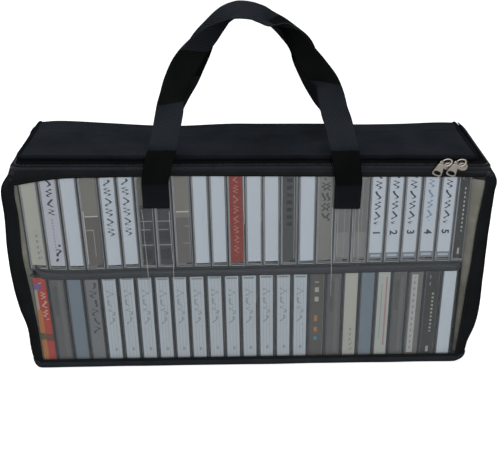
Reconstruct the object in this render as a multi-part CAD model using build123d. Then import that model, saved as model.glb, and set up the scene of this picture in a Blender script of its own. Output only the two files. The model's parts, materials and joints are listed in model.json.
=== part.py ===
from build123d import *
import os
from math import atan2, cos, degrees, pi, radians, sin

os.makedirs("parts", exist_ok=True)

# Soft zip-top bag for two rows of cassettes. Millimetres, +Z up, front window towards -Y,
# origin on the floor under the middle of the bag.

# ---- Cassette cases -------------------------------------------------------------------------
case_height = 109.0
case_depth = 70.0
case_thickness = 16.8
case_pitch = 17.0
case_wall = 1.2
case_seam = 0.1            # gap between a case's tray and its lid
cases_per_row = 25
lower_row_shift = -4.0     # the lower row stands a little to the left
card_thickness = 0.3
card_spine_margin = 2.8    # from the card's spine strip to the case's far side
card_raise = 5.0           # a card's lower edge above the case's foot
card_head_room = 3.4       # and its upper edge below the case's top
card_back_room = 4.7       # from the card's flap to the case's back
tape_raise = 1.5           # a tape's lower edge above the tray's bottom wall
tape_head_room = 4.7       # and its upper edge below the top wall
tape_wall_room = 0.3       # from a tray's big wall to its tape
tape_card_room = 2.1       # from the tape's thick edge to the lid's big wall
tape_spine_room = 3.2      # from the spine's outside to the tape's thick edge
tape_back_room = 1.8       # from the tape to the tray's back wall
tape_edge_step = 3.3       # how much thicker the thick edge is than the shell
tape_edge_depth = 15.5
tape_lip_base = 68.0       # the thick edge's length where it leaves the shell
tape_lip_top = 60.0        # and at its face

# ---- Bag ------------------------------------------------------------------------------------
fabric = 1.4
vinyl = 0.8
tape_cloth = 0.7           # the zip's woven tape
base_board_thickness = 2.0
base_board_play = 0.5
base_board_lift = 0.1      # base cloth to the board that lies on it
divider_thickness = 7.0
divider_board_thickness = 3.0
divider_end_room = 17.0    # from a divider's end to the side panel
divider_front_room = 0.6
divider_corner = 9.0
divider_edge = 1.4         # slope along the sleeve's rims
divider_side_hem = 4.0     # cloth past the board's ends
divider_front_hem = 3.0    # cloth past the board's front edge
divider_pocket_room = 0.2  # round the board inside its sleeve
divider_board_set_back = 1.0
bag_half_depth = 52.5
row_end_room = 18.6        # from the upper row's end to the side panel
foot_height = 12.0         # the base cloth turns up this far
foot_inset = 10.5          # how much narrower each side is on the floor
foot_rise_inset = 8.0      # the same, at the top of the turned-up base
low_inset = 2.0            # the same, at low_height
low_height = 60.0
full_height_from = 100.0
full_height_to = 190.0
shoulder_inset = 3.5       # the same, at the zip's lower edge
lid_inset = 15.5           # the same, at the lid's edge
foot_depth_inset = 1.0
lid_depth_inset = 1.5
corner_radius = 7.0
window_foot_margin = 2.5   # window edge beyond the row's end, at the foot
window_top_margin = 9.0    # the same, at the zip
window_tape_width = 3.0
window_tape_thickness = 0.8

# ---- Zip ------------------------------------------------------------------------------------
zip_band = 17.0            # from the window's top to the lid
zip_line = 9.5             # height of the zip's centre line above the window's top
bead_width = 2.6           # one half of the coil
bead_height = 1.6
bead_gap = 1.0             # between the two halves of the coil
tape_gap = 1.2
zip_rear_stop = 8.5        # the zip ends this far from the back
zip_end_seam = 0.3         # zip's rear ends to the hinge strip
tab_height = 9.0
tab_thickness = 1.2
tab_room = 0.5             # a tab to the zip's rear end
tab_back_room = 2.0        # a tab to the bag's back
case_front_room = 0.4      # slider's back plate to the cases

# ---- Lid ------------------------------------------------------------------------------------
case_top_room = 1.6        # above the upper row
lid_thickness = 1.6
lid_gap = 0.1              # lid panel to the zip tape below it
piping_width = 3.1
piping_height = 2.3
piping_seam = 0.05
piping_round = 0.8
lid_overhang_side = 1.2    # the piping stands out past the zip band
lid_overhang_front = 0.2
lid_corner_trim = 2.0      # inner corners are this much tighter than the outer ones
lid_back_set_in = 1.4      # lid's back edge from the bag's back, at the lid's height
hinge_seam = 0.3           # top of the hinge strip to the lid

# ---- Sliders and pulls ----------------------------------------------------------------------
slider_length = 12.0
slider_width = 9.4
slider_nose = 6.4          # plate width at its narrow ends
slider_plate = 1.1
slider_clearance = 0.2
flange = 0.9
post_thickness = 0.6
post_length = 6.0
bail_length = 5.0
bail_width = 1.0
bail_leg = 1.0
bail_opening = 1.7
slider_left_x = 186.0
slider_right_x = 199.0
pull_length = 15.5
pull_top_width = 6.8
pull_end_width = 10.0
pull_thickness = 1.1
pull_eye_width = 4.6
pull_eye_length = 2.7
pull_bar = 1.1             # the pull's top bar, which sits under the bail
pull_hole_width = 5.2
pull_hole_length = 3.0
pull_hole_margin = 1.9     # metal past the hole, at the pull's end
pull_shoulder = 3.4        # the pull widens from here on
pull_flare = 0.15          # how much wider each side is at the shoulder
pull_end_round = 2.2
pull_top_round = 0.5
pull_hang_angle = 45.0     # degrees below level

# ---- Handles --------------------------------------------------------------------------------
strap_width = 25.4
strap_thickness = 1.8
strap_half_span = 90.5
handle_centre_x = 4.0
patch_height = 28.5
patch_top_drop = 9.0       # from the window's top to the patch's top
root_bend = 3.0            # radius of the bend in which a sewn end leaves the bag
strap_stand_out = 8.0      # the free strap hangs this far out from the window
strap_fold_gap = 0.3       # from the bend's end to the free strap
strap_fold_rise = 0.6      # from the fold line to the free strap's foot
strap_crown_gap = 0.3      # half the gap between the two crowns
handle_rise = 147.9        # from the free strap's foot to the crown
handle_sections = 22
# Free strap's centre line from its foot to the crown, as shares of
# (the half span, the way from the crown's plane out to the foot's, the rise)
strap_route = [
    (1.000, 1.000, 0.000),
    (0.985, 1.000, 0.054),
    (0.916, 0.985, 0.233),
    (0.822, 0.830, 0.459),
    (0.672, 0.520, 0.699),
    (0.340, 0.116, 0.929),
    (0.000, 0.000, 1.000),
]
twist_from = 0.20          # share of a leg's length where the strap starts to turn
twist_to = 0.92            # and where it has turned edge-on

# ---- Worked-out places ----------------------------------------------------------------------
row_length = cases_per_row * case_pitch
inner_half_width = row_length / 2 + row_end_room
half_width = inner_half_width + fabric
lower_row_z = fabric + base_board_lift + base_board_thickness
divider_z = lower_row_z + case_height
upper_row_z = divider_z + divider_thickness
lid_z = upper_row_z + case_height + case_top_room + lid_gap
window_top = lid_z + lid_thickness - zip_band
zip_z = window_top + zip_line
lid_edge_z = window_top + zip_band

levels = [                 # height, half width, half depth of the bag's outside
    (0.0, half_width - foot_inset, bag_half_depth - foot_depth_inset),
    (foot_height, half_width - foot_rise_inset, bag_half_depth),
    (low_height, half_width - low_inset, bag_half_depth),
    (full_height_from, half_width, bag_half_depth),
    (full_height_to, half_width, bag_half_depth),
    (window_top, half_width - shoulder_inset, bag_half_depth),
    (lid_edge_z, half_width - lid_inset, bag_half_depth - lid_depth_inset),
]
window_foot_half = row_length / 2 + window_foot_margin
window_top_half = row_length / 2 + window_top_margin

lean = atan2(lid_depth_inset, zip_band)                  # the zip band leans back this much
zip_face_y = bag_half_depth - lid_depth_inset * zip_line / zip_band
slider_back = tape_cloth + slider_clearance + slider_plate
case_front_y = -(zip_face_y - slider_back / cos(lean) - case_front_room)


def save(name, *solids):
    """Write one node: one solid, or a group of separate solids."""
    pieces = [s for item in solids for s in (item if isinstance(item, (list, tuple)) else item.solids())]
    export_step(Compound(pieces), f"parts/{name}.step")


def block(x0, x1, y0, y1, z0, z1):
    """A box between two corners."""
    return Pos((x0 + x1) / 2, (y0 + y1) / 2, (z0 + z1) / 2) * Box(x1 - x0, y1 - y0, z1 - z0)


# ---- Bag's skin: one lofted form, split into its panels ---------------------------------------
reach = half_width + 50.0


def bag_form(grow):
    """The bag's whole outside, grown or shrunk by a skin's thickness."""
    sections = [
        Plane.XY.offset(z) * RectangleRounded(2 * (w + grow), 2 * (d + grow), corner_radius + grow)
        for z, w, d in levels
    ]
    return loft(sections, ruled=True)


def skin(z0, z1, inside, outside=0.0):
    """The stretch of the bag's skin between two heights and two offsets."""
    ring = bag_form(outside) - bag_form(inside)
    return ring & block(-reach, reach, -reach, reach, z0, z1)


def window_outline():
    """A window's outline in the XZ plane, a little narrower at the foot."""
    return Plane.XZ * Polygon(
        (-window_foot_half, foot_height), (window_foot_half, foot_height),
        (window_top_half, window_top), (-window_top_half, window_top), align=None,
    )


def window_mask(sign):
    """Prism through the front (sign -1) or back (sign 1) that outlines the window."""
    y0, y1 = (-reach, 0.0) if sign < 0 else (0.0, reach)
    prism = extrude(window_outline(), amount=reach, both=True)
    return prism & block(-reach, reach, y0, y1, 0.0, lid_edge_z)


def make_base_panel():
    """Base cloth with its turned-up edge."""
    tray = bag_form(0.0) - (bag_form(-fabric) & block(-reach, reach, -reach, reach, fabric, reach))
    return tray & block(-reach, reach, -reach, reach, 0.0, foot_height)


def make_base_board():
    """Stiff board that lies on the base cloth."""
    trim = fabric + base_board_play
    outline = RectangleRounded(
        2 * (half_width - foot_inset - trim), 2 * (bag_half_depth - foot_depth_inset - trim), corner_radius
    )
    return Pos(0, 0, fabric + base_board_lift) * extrude(outline, base_board_thickness)


def make_side_panels():
    """Left and right side cloth, each wrapping round to the window's edge."""
    ring = skin(foot_height, window_top, -fabric) - window_mask(-1) - window_mask(1)
    left = ring & block(-reach, 0, -reach, reach, 0, reach)
    right = ring & block(0, reach, -reach, reach, 0, reach)
    return left, right


def make_window(sign):
    """Clear sheet of the front or back."""
    y = sign * (bag_half_depth - vinyl / 2)
    sheet = block(-reach, reach, y - vinyl / 2, y + vinyl / 2, 0, reach)
    return sheet & window_mask(sign)


def make_window_tape(sign):
    """Four flat tapes sewn round a window's edge."""
    w = window_tape_width
    y0, y1 = sorted((sign * bag_half_depth, sign * (bag_half_depth + window_tape_thickness)))
    layer = extrude(window_outline(), amount=reach, both=True)
    strips = [
        layer & block(-reach, reach, y0, y1, foot_height, foot_height + w),
        layer & block(-reach, reach, y0, y1, window_top - w, window_top),
    ]
    slant = (window_top_half - window_foot_half) / (window_top - foot_height)
    z0, z1 = foot_height + w, window_top - w
    low, high = window_foot_half + slant * w, window_top_half - slant * w
    for side in (-1, 1):
        edge = Polygon(
            (side * low, z0), (side * high, z1), (side * (high - w), z1), (side * (low - w), z0), align=None
        )
        bar = extrude(Plane.XZ * edge, amount=reach, both=True)
        strips.append(bar & block(-reach, reach, y0, y1, 0, reach))
    return [strip.solids()[0] for strip in strips]


# ---- Zip: two tapes and the two halves of the coil -------------------------------------------
zip_end_y = bag_half_depth - zip_rear_stop


def zip_strip(z0, z1, inside, outside):
    """A strip of the zip band round the front and both sides."""
    return skin(z0, z1, inside, outside) & block(-reach, reach, -reach, zip_end_y, 0, reach)


def make_zip():
    """Lower tape, lower coil, upper coil and upper tape."""
    lower_tape = zip_strip(window_top, zip_z - tape_gap / 2, -tape_cloth, 0.0)
    lower_coil = zip_strip(zip_z - bead_gap / 2 - bead_width, zip_z - bead_gap / 2, 0.0, bead_height)
    upper_coil = zip_strip(zip_z + bead_gap / 2, zip_z + bead_gap / 2 + bead_width, 0.0, bead_height)
    upper_tape = zip_strip(zip_z + tape_gap / 2, lid_z - lid_gap, -tape_cloth, 0.0)
    return lower_tape, lower_coil, upper_coil, upper_tape


def make_hinge_strip():
    """Cloth along the back, from the back window up to the lid's hinge line."""
    ring = skin(window_top, lid_z - hinge_seam, -tape_cloth, 0.0)
    return ring & block(-reach, reach, zip_end_y + zip_end_seam, reach, 0, reach)


def make_zip_end_tabs():
    """Two small cloth tabs over the zip's rear ends."""
    ring = skin(zip_z - tab_height / 2, zip_z + tab_height / 2, 0.0, tab_thickness)
    ring = ring & block(-reach, reach, zip_end_y + tab_room, bag_half_depth - tab_back_room, 0, reach)
    return list(ring.solids())


# ---- Lid --------------------------------------------------------------------------------------
lid_half_width = half_width - lid_inset
lid_half_depth = bag_half_depth - lid_depth_inset
lid_back_y = lid_half_depth - lid_back_set_in
lid_piping_half_width = lid_half_width + lid_overhang_side
lid_piping_front = lid_half_depth + lid_overhang_front


def lid_outline(half_w, front_y, radius):
    """Lid's plan: rounded at the front corners, square along the hinge."""
    depth = lid_back_y - front_y
    plan = Pos(0, (lid_back_y + front_y) / 2) * Rectangle(2 * half_w, depth)
    corners = plan.vertices().sort_by(Axis.Y)[:2]
    return fillet(corners, radius)


def make_lid_panel():
    """Top panel of the lid."""
    trim = piping_width + piping_seam
    radius = corner_radius - lid_corner_trim
    outline = lid_outline(lid_piping_half_width - trim, trim - lid_piping_front, radius)
    return Pos(0, 0, lid_z) * extrude(outline, lid_thickness)


def make_lid_piping():
    """Raised edge roll round the lid's front and sides."""
    w, y = lid_piping_half_width, lid_piping_front
    inner = lid_outline(w - piping_width, piping_width - y, corner_radius - lid_corner_trim)
    ring = lid_outline(w, -y, corner_radius) - inner
    roll = extrude(ring, piping_height)
    top = roll.faces().sort_by(Axis.Z)[-1]
    rounded = [e for e in top.edges() if abs(e.center().Y - lid_back_y) > 0.5]
    return Pos(0, 0, lid_z) * fillet(rounded, piping_round)


# ---- Divider shelf ------------------------------------------------------------------------------
def make_divider():
    """Cloth sleeve, open along the back, and the board inside it."""
    w = inner_half_width - divider_end_room
    d = bag_half_depth - vinyl - divider_front_room
    outline = RectangleRounded(2 * w, 2 * d, divider_corner)
    sleeve = Pos(0, 0, divider_z) * extrude(outline, divider_thickness)
    sleeve = chamfer(sleeve.edges().filter_by(Plane.XY), divider_edge)
    mid = divider_z + divider_thickness / 2
    t = divider_board_thickness / 2
    board_w = w - divider_side_hem
    front = -d + divider_front_hem
    board = block(-board_w, board_w, front, d - divider_board_set_back, mid - t, mid + t)
    room = divider_pocket_room
    pocket = block(-board_w - room, board_w + room, front - room, reach, mid - t - room, mid + t + room)
    return sleeve - pocket, board


# ---- Cassettes --------------------------------------------------------------------------------
def make_case_tray():
    """Half of a case that holds the tape: one big wall, top, bottom and back."""
    deep = case_thickness - case_wall - case_seam
    outer = block(0, deep, case_wall + case_seam, case_depth, 0, case_height)
    hollow = block(case_wall, deep + 1, 0, case_depth - case_wall, case_wall, case_height - case_wall)
    return outer - hollow


def make_case_lid():
    """Half of a case that holds the card: the other big wall and the spine."""
    spine = block(0, case_thickness, 0, case_wall, 0, case_height)
    wall = block(case_thickness - case_wall, case_thickness, 0, case_depth, 0, case_height)
    return spine + wall


def make_card():
    """Folded card: a spine strip behind the case's spine, and a flap along the big wall."""
    x0, x1 = card_spine_margin, case_thickness - case_wall - case_seam
    y0 = case_wall + case_seam
    z0, z1 = card_raise, case_height - card_head_room
    spine = block(x0, x1, y0, y0 + card_thickness, z0, z1)
    flap = block(x1 - card_thickness, x1, y0, case_depth - card_back_room, z0, z1)
    return spine + flap


def make_tape():
    """Cassette: a flat shell with its thicker edge, and two hub holes."""
    x0 = case_wall + tape_wall_room
    x2 = case_thickness - case_wall - tape_card_room
    x1 = x2 - tape_edge_step
    y0, y1 = tape_spine_room, case_depth - case_wall - tape_back_room
    z0, z1 = case_wall + tape_raise, case_height - case_wall - tape_head_room
    shell = block(x0, x1, y0, y1, z0, z1)
    mid_z = (z0 + z1) / 2
    base, top = tape_lip_base / 2, tape_lip_top / 2
    profile = Polygon(
        (x1, mid_z - base), (x1, mid_z + base), (x2, mid_z + top), (x2, mid_z - top), align=None
    )
    edge = extrude(Plane.XZ * profile, amount=tape_edge_depth, dir=(0, 1, 0))
    return shell + Pos(0, y0, 0) * edge


def row_of(piece, z, shift):
    """A row of copies, one for each case."""
    left = -row_length / 2 + shift + (case_pitch - case_thickness) / 2
    return [
        solid
        for i in range(cases_per_row)
        for solid in (Pos(left + i * case_pitch, case_front_y, z) * piece).solids()
    ]


# ---- Sliders and pulls --------------------------------------------------------------------------
def slider_frame(x):
    """Plane on the front zip band: local X along the zip, local Y up the band, local Z outwards."""
    return Plane(origin=(x, -zip_face_y, zip_z), x_dir=(1, 0, 0), z_dir=(0, -cos(lean), sin(lean)))


plate_z = bead_height + slider_clearance
bail_z = plate_z + slider_plate
pull_axis_z = bail_z + bail_opening / 2


def plate_outline():
    """Slider plate seen from the front: wide in the middle, narrow at both ends."""
    h, w, n = slider_length / 2, slider_width / 2, slider_nose / 2
    outline = Polygon((-h, -n), (-h * 0.35, -w), (h * 0.35, -w), (h, -n),
                      (h, n), (h * 0.35, w), (-h * 0.35, w), (-h, n), align=None)
    return fillet(outline.vertices(), 1.2)


def make_slider():
    """Two plates joined by a thin post, with side flanges and a bail for the pull."""
    outline = plate_outline()
    front = Pos(0, 0, plate_z) * extrude(outline, slider_plate)
    back = Pos(0, 0, -slider_back) * extrude(outline, slider_plate)
    post = block(-post_length / 2, post_length / 2, -post_thickness / 2, post_thickness / 2,
                 -slider_back + slider_plate / 2, plate_z + slider_plate / 2)
    body = front + back + post
    w = slider_width / 2
    run = slider_length * 0.35 - 1.0
    for side in (-1, 1):
        y0, y1 = sorted((side * w, side * (w - flange)))
        body = body + block(-run, run, y0, y1, slider_clearance * 2, plate_z + 0.3)
    b, t = bail_length / 2, bail_z + bail_opening + bail_leg
    arch = block(-b, b, -bail_width / 2, bail_width / 2, bail_z - 0.3, t)
    arch = fillet([e for e in arch.edges().filter_by(Axis.Y) if e.center().Z > t - 0.1], 0.7)
    window = block(-b + bail_leg, b - bail_leg, -bail_width, bail_width, bail_z, bail_z + bail_opening)
    return body + (arch - window)


def make_pull():
    """Tapered pull, hanging down to the left from the bail."""
    top, end = pull_top_width / 2, pull_end_width / 2
    length = pull_length
    neck = top + pull_flare
    outline = Polygon((-top, -pull_bar / 2), (-neck, pull_shoulder), (-end, length),
                      (end, length), (neck, pull_shoulder), (top, -pull_bar / 2), align=None)
    outline = fillet(outline.vertices().sort_by(Axis.Y)[-2:], pull_end_round)
    outline = fillet(outline.vertices().sort_by(Axis.Y)[:2], pull_top_round)
    eye = Pos(0, pull_bar / 2 + pull_eye_length / 2) * Rectangle(pull_eye_width, pull_eye_length)
    eye = fillet(eye.vertices(), pull_top_round)
    hole_y = length - pull_hole_margin - pull_hole_length / 2
    hole = Pos(0, hole_y) * SlotOverall(pull_hole_width, pull_hole_length)
    tab = extrude(outline - eye - hole, pull_thickness / 2, both=True)
    turn = degrees(pi / 2) + pull_hang_angle
    return Pos(0, 0, pull_axis_z) * Rot(0, 0, turn) * tab


# ---- Handles ------------------------------------------------------------------------------------
patch_top = window_top - patch_top_drop
fold_z = patch_top + root_bend
fold_y = bag_half_depth + strap_stand_out


def make_patches(sign):
    """Two sewn strap ends on one face of the bag, each bending out to the fold line."""
    t = strap_thickness
    bottom = patch_top - patch_height
    face = bag_half_depth + t / 2
    tip = fold_y - t / 2 - strap_fold_gap
    centre_line = Line((face, bottom), (face, patch_top))
    centre_line += RadiusArc((face, patch_top), (face + root_bend, fold_z), root_bend)
    centre_line += Line((face + root_bend, fold_z), (tip, fold_z))
    section = Plane.YZ * trace(centre_line, t)
    end = extrude(section, strap_width / 2, both=True)
    if sign < 0:
        end = mirror(end, Plane.XZ)
    spots = [handle_centre_x + side * strap_half_span for side in (-1, 1)]
    return [(Pos(x, 0, 0) * end).solids()[0] for x in spots]


def smooth(t):
    """Eased step from 0 to 1."""
    t = min(max(t, 0.0), 1.0)
    return t * t * (3 - 2 * t)


def strap_path(sign):
    """Centre line of one free strap, from the left foot over the crown to the right foot."""
    crown_out = strap_width / 2 + strap_crown_gap
    half = [
        (strap_half_span * across, sign * (crown_out + (fold_y - crown_out) * out), handle_rise * up)
        for across, out, up in strap_route
    ]
    points = [(-x, y, z) for x, y, z in half[:-1]] + half[::-1]
    ends = (Vector(0, 0, 1), Vector(0, 0, -1))
    return Pos(handle_centre_x, 0, fold_z + strap_fold_rise) * Spline(*points, tangents=ends)


def strap_section(path, t, sign):
    """Four corners of the strap's section, at share t of its path."""
    point, along = path.position_at(t), path.tangent_at(t)
    facing = Vector(0, sign, 0)
    facing = (facing - along * facing.dot(along)).normalized()
    outwards = along.cross(facing) * sign
    share = 1 - abs(2 * t - 1)
    angle = smooth((share - twist_from) / (twist_to - twist_from)) * pi / 2
    normal = (facing * cos(angle) + outwards * sin(angle)).normalized()
    across = normal.cross(along) * (strap_width / 2)
    thick = normal * (strap_thickness / 2)
    return [point + across + thick, point - across + thick, point - across - thick, point + across - thick]


def facet(*corners):
    """A flat face between its corners."""
    return Face(Wire.make_polygon(corners, close=True))


def make_handle(sign):
    """Webbing arch: flat against the bag at its feet, turned edge-on at the crown."""
    path = strap_path(sign)
    rings = [strap_section(path, i / handle_sections, sign) for i in range(handle_sections + 1)]
    faces = [facet(*rings[0]), facet(*rings[-1])]
    for ring, after in zip(rings, rings[1:]):
        for i in range(4):
            j = (i + 1) % 4
            faces += [facet(ring[i], ring[j], after[j]), facet(ring[i], after[j], after[i])]
    return Solid(Shell(faces))


# ---- Write every node ---------------------------------------------------------------------------
save("base_panel", make_base_panel())
save("base_board", make_base_board())
side_left, side_right = make_side_panels()
save("side_panel_left", side_left)
save("side_panel_right", side_right)
for face, sign in (("front", -1), ("back", 1)):
    save(f"window_{face}", make_window(sign))
    save(f"window_tape_{face}", make_window_tape(sign))
    save(f"handle_patches_{face}", make_patches(sign))
    save(f"handle_{face}", make_handle(sign))

lower_tape, lower_coil, upper_coil, upper_tape = make_zip()
save("zip_tape_lower", lower_tape)
save("zip_coil_lower", lower_coil)
save("zip_coil_upper", upper_coil)
save("zip_tape_upper", upper_tape)
save("zip_end_tabs", make_zip_end_tabs())
save("hinge_strip", make_hinge_strip())
save("lid_panel", make_lid_panel())
save("lid_piping", make_lid_piping())

divider_sleeve, divider_board = make_divider()
save("divider_sleeve", divider_sleeve)
save("divider_board", divider_board)

pieces = {
    "case_trays": make_case_tray(),
    "case_lids": make_case_lid(),
    "cards": make_card(),
    "tapes": make_tape(),
}
rows = {"lower": (lower_row_z, lower_row_shift), "upper": (upper_row_z, 0.0)}
for row, (z, shift) in rows.items():
    for name, piece in pieces.items():
        save(f"{row}_{name}", row_of(piece, z, shift))

slider, pull = make_slider(), make_pull()
for side, x in (("left", slider_left_x), ("right", slider_right_x)):
    place = slider_frame(x).location
    save(f"slider_{side}", place * slider)
    save(f"pull_{side}", place * pull)
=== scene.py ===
import json
import math

import bmesh
import bpy
from mathutils import Matrix, Vector, noise

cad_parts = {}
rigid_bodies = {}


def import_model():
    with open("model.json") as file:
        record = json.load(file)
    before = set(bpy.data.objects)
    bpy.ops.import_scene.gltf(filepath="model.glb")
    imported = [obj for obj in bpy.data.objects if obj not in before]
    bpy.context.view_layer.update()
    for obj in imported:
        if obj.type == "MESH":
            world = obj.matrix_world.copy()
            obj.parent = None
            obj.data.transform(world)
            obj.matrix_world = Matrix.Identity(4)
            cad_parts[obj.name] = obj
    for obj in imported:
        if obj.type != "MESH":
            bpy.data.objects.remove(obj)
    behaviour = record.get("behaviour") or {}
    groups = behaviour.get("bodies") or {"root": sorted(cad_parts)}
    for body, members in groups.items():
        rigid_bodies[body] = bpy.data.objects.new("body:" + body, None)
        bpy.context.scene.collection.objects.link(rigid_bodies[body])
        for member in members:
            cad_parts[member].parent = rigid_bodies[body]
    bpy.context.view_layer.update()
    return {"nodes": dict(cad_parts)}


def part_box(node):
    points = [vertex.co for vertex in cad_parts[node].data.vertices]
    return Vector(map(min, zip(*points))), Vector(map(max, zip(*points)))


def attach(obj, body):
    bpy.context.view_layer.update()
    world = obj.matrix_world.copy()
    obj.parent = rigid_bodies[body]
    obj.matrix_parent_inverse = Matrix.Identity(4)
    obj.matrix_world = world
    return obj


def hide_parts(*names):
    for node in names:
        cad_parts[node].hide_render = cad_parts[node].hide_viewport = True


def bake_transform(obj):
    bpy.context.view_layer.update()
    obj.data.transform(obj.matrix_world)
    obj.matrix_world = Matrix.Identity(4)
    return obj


# Soft zip-top bag with two rows of cassettes. Pieces are shaped in millimetres, with the front
# window towards -Y, and scaled to metres when they are settled on their body.

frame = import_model()

MM = 0.001

# ---- Sizes that the pieces share ---------------------------------------------------------------
bag_half_depth = 52.5
corner_radius = 7.0
foot_height = 12.0                 # the base cloth turns up about this far
foot_depth_inset = 1.0             # how much less deep the bag is on the floor
window_foot = 10.0                 # lower edge of the side cloths and of the windows' binding
window_top = 214.8
zip_band = 17.0                    # from the window's top to the lid's edge
lid_depth_inset = 1.5              # the zip band leans back this much
lid_edge_z = 231.8
zip_z = 224.3                      # height of the zip's middle, before the soft top leans
strap_width = 25.4
strap_centres = (-85.2, 95.7)      # middles of the sewn ends
# the sewn ends' webbing below patch_top is painted darker, as shade
patch_top = 210.0                  # a sewn end is darker up to here
cases_per_row = 25
case_pitch = 17.0
case_thickness = 16.8
case_height = 109.0
case_depth = 70.0
case_wall = 1.2
seed_shift = Vector((31.7, 12.9, 5.3))    # moves the soft random pattern


# ---- Small tools ---------------------------------------------------------------------------------
def clamp(value, low=0.0, high=1.0):
    """Value kept between two limits."""
    return min(max(value, low), high)


def ease(value):
    """Smooth step from 0 to 1."""
    t = clamp(value)
    return t * t * (3 - 2 * t)


def along(x, stations):
    """Value at x on a smooth curve through stations (x, value)."""
    if x <= stations[0][0]:
        return stations[0][1]
    if x >= stations[-1][0]:
        return stations[-1][1]
    last = len(stations) - 1
    i = next(k for k in range(last) if x <= stations[k + 1][0])

    def slope(k):
        (xa, a), (xb, b) = stations[max(k - 1, 0)], stations[min(k + 1, last)]
        return (b - a) / (xb - xa)

    (x0, a), (x1, b) = stations[i], stations[i + 1]
    run = x1 - x0
    t = (x - x0) / run
    rise = slope(i) * run * (t - 2 * t * t + t ** 3) + slope(i + 1) * run * (t ** 3 - t * t)
    return a + (b - a) * ease(t) + rise


def wander(x, y, z, scale, seed=0.0):
    """Soft random value from -1 to 1, for cloth that is never quite flat."""
    return noise.noise(Vector((x, y, z)) / scale + seed_shift * (1.0 + seed))


def select_only(*objects):
    """Deselect everything, then select these."""
    for other in bpy.context.view_layer.objects:
        other.select_set(False)
    for obj in objects:
        obj.select_set(True)
    bpy.context.view_layer.objects.active = objects[0]


def start_piece(name):
    """Name the primitive that was just added."""
    obj = bpy.context.active_object
    obj.name = name
    obj.data.name = name
    select_only(obj)
    return obj


def reshape(size, shift=None, bevel=0.0):
    """Stretch the new primitive to a size, move it and soften its edges."""
    bpy.ops.object.mode_set(mode="EDIT")
    bpy.ops.mesh.select_all(action="SELECT")
    bpy.ops.transform.resize(value=size)
    if shift:
        bpy.ops.transform.translate(value=shift)
    if bevel:
        bpy.ops.mesh.bevel(offset=bevel, segments=1, affect="EDGES")
    bpy.ops.object.mode_set(mode="OBJECT")


def box_piece(name, x0, x1, y0, y1, z0, z1, bevel=0.0):
    """A block between two corners, its edges softened."""
    bpy.ops.mesh.primitive_cube_add(size=1.0)
    obj = start_piece(name)
    reshape((x1 - x0, y1 - y0, z1 - z0), ((x0 + x1) / 2, (y0 + y1) / 2, (z0 + z1) / 2), bevel)
    return obj


def mirrored(place, flip):
    """The same sheet run the other way along, for where its face would point inwards."""
    return (lambda u, v: place(1 - u, v)) if flip else place


def apply_modifier(obj, kind, **settings):
    """Add one modifier and apply it."""
    select_only(obj)
    modifier = obj.modifiers.new(kind.lower(), kind)
    for key, value in settings.items():
        setattr(modifier, key, value)
    bpy.ops.object.modifier_apply(modifier=modifier.name)
    return obj


def smooth_shade(obj, angle):
    """Smooth shading, with edges sharper than the angle left crisp."""
    select_only(obj)
    bpy.ops.object.shade_smooth_by_angle(angle=math.radians(angle))
    return obj


def settle(obj, body, slot, *materials, replaces=(), smooth=60, ride=True):
    """Scale a finished piece to metres, give it its finish and put it on its body."""
    select_only(obj)
    bpy.ops.object.transform_apply(location=True, rotation=True, scale=True)
    obj.data.transform(Matrix.Scale(MM, 4))
    if smooth:
        smooth_shade(obj, smooth)
    if materials:
        while len(obj.data.materials) < len(materials):
            obj.data.materials.append(None)
        while len(obj.data.materials) > len(materials):
            obj.data.materials.pop()
        for index, material in enumerate(materials):
            obj.data.materials[index] = material
    if replaces:
        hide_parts(*replaces)
    if ride:
        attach(obj, body)
    return obj


def join(name, pieces):
    """Join several meshes into one piece."""
    select_only(*pieces)
    bpy.ops.object.join()
    obj = bpy.context.active_object
    obj.name = name
    obj.data.name = name
    return obj


def sheet(name, columns, rows, place, thickness=0.0, loop=False, lined=False):
    """A sheet of cloth: a grid whose point (u, v) goes to place(u, v), with its weave laid along it."""
    bpy.ops.mesh.primitive_grid_add(x_subdivisions=columns, y_subdivisions=rows, size=2)
    obj = start_piece(name)
    grid = [((p.co.x + 1) / 2, (p.co.y + 1) / 2) for p in obj.data.vertices]
    spots = [Vector(place(u, v)) for u, v in grid]
    marks = [i / 24 for i in range(25)]
    across = [Vector(place(mark, 0.5)) for mark in marks]
    upright = [Vector(place(0.5, mark)) for mark in marks]
    wide = sum((b - a).length for a, b in zip(across, across[1:]))
    tall = sum((b - a).length for a, b in zip(upright, upright[1:]))
    weave = obj.data.uv_layers[0]
    for corner in obj.data.loops:
        u, v = grid[corner.vertex_index]
        weave.data[corner.index].uv = (u * wide * MM, v * tall * MM)
    for point, spot in zip(obj.data.vertices, spots):
        point.co = spot
    if loop:
        bpy.ops.object.mode_set(mode="EDIT")
        bpy.ops.mesh.select_all(action="SELECT")
        bpy.ops.mesh.remove_doubles(threshold=0.01)
        bpy.ops.object.mode_set(mode="OBJECT")
    if thickness:
        obj.data.materials.append(None)
        obj.data.materials.append(None)
        apply_modifier(obj, "SOLIDIFY", thickness=thickness, offset=-1.0,
                       material_offset=1 if lined else 0)
    return obj


def ribbon(name, stations, ring, place):
    """A closed tube of cloth: ring points round each station, both ends capped."""
    obj = sheet(name, stations, ring, lambda u, v: place(u, v if v < 1.0 else 0.0), loop=True)
    bpy.ops.object.mode_set(mode="EDIT")
    bpy.ops.mesh.select_all(action="DESELECT")
    bpy.ops.mesh.select_mode(type="EDGE")
    bpy.ops.mesh.select_non_manifold()
    bpy.ops.mesh.fill_holes(sides=0)
    bpy.ops.mesh.select_all(action="SELECT")
    bpy.ops.mesh.normals_make_consistent(inside=False)
    bpy.ops.object.mode_set(mode="OBJECT")
    return obj


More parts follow.
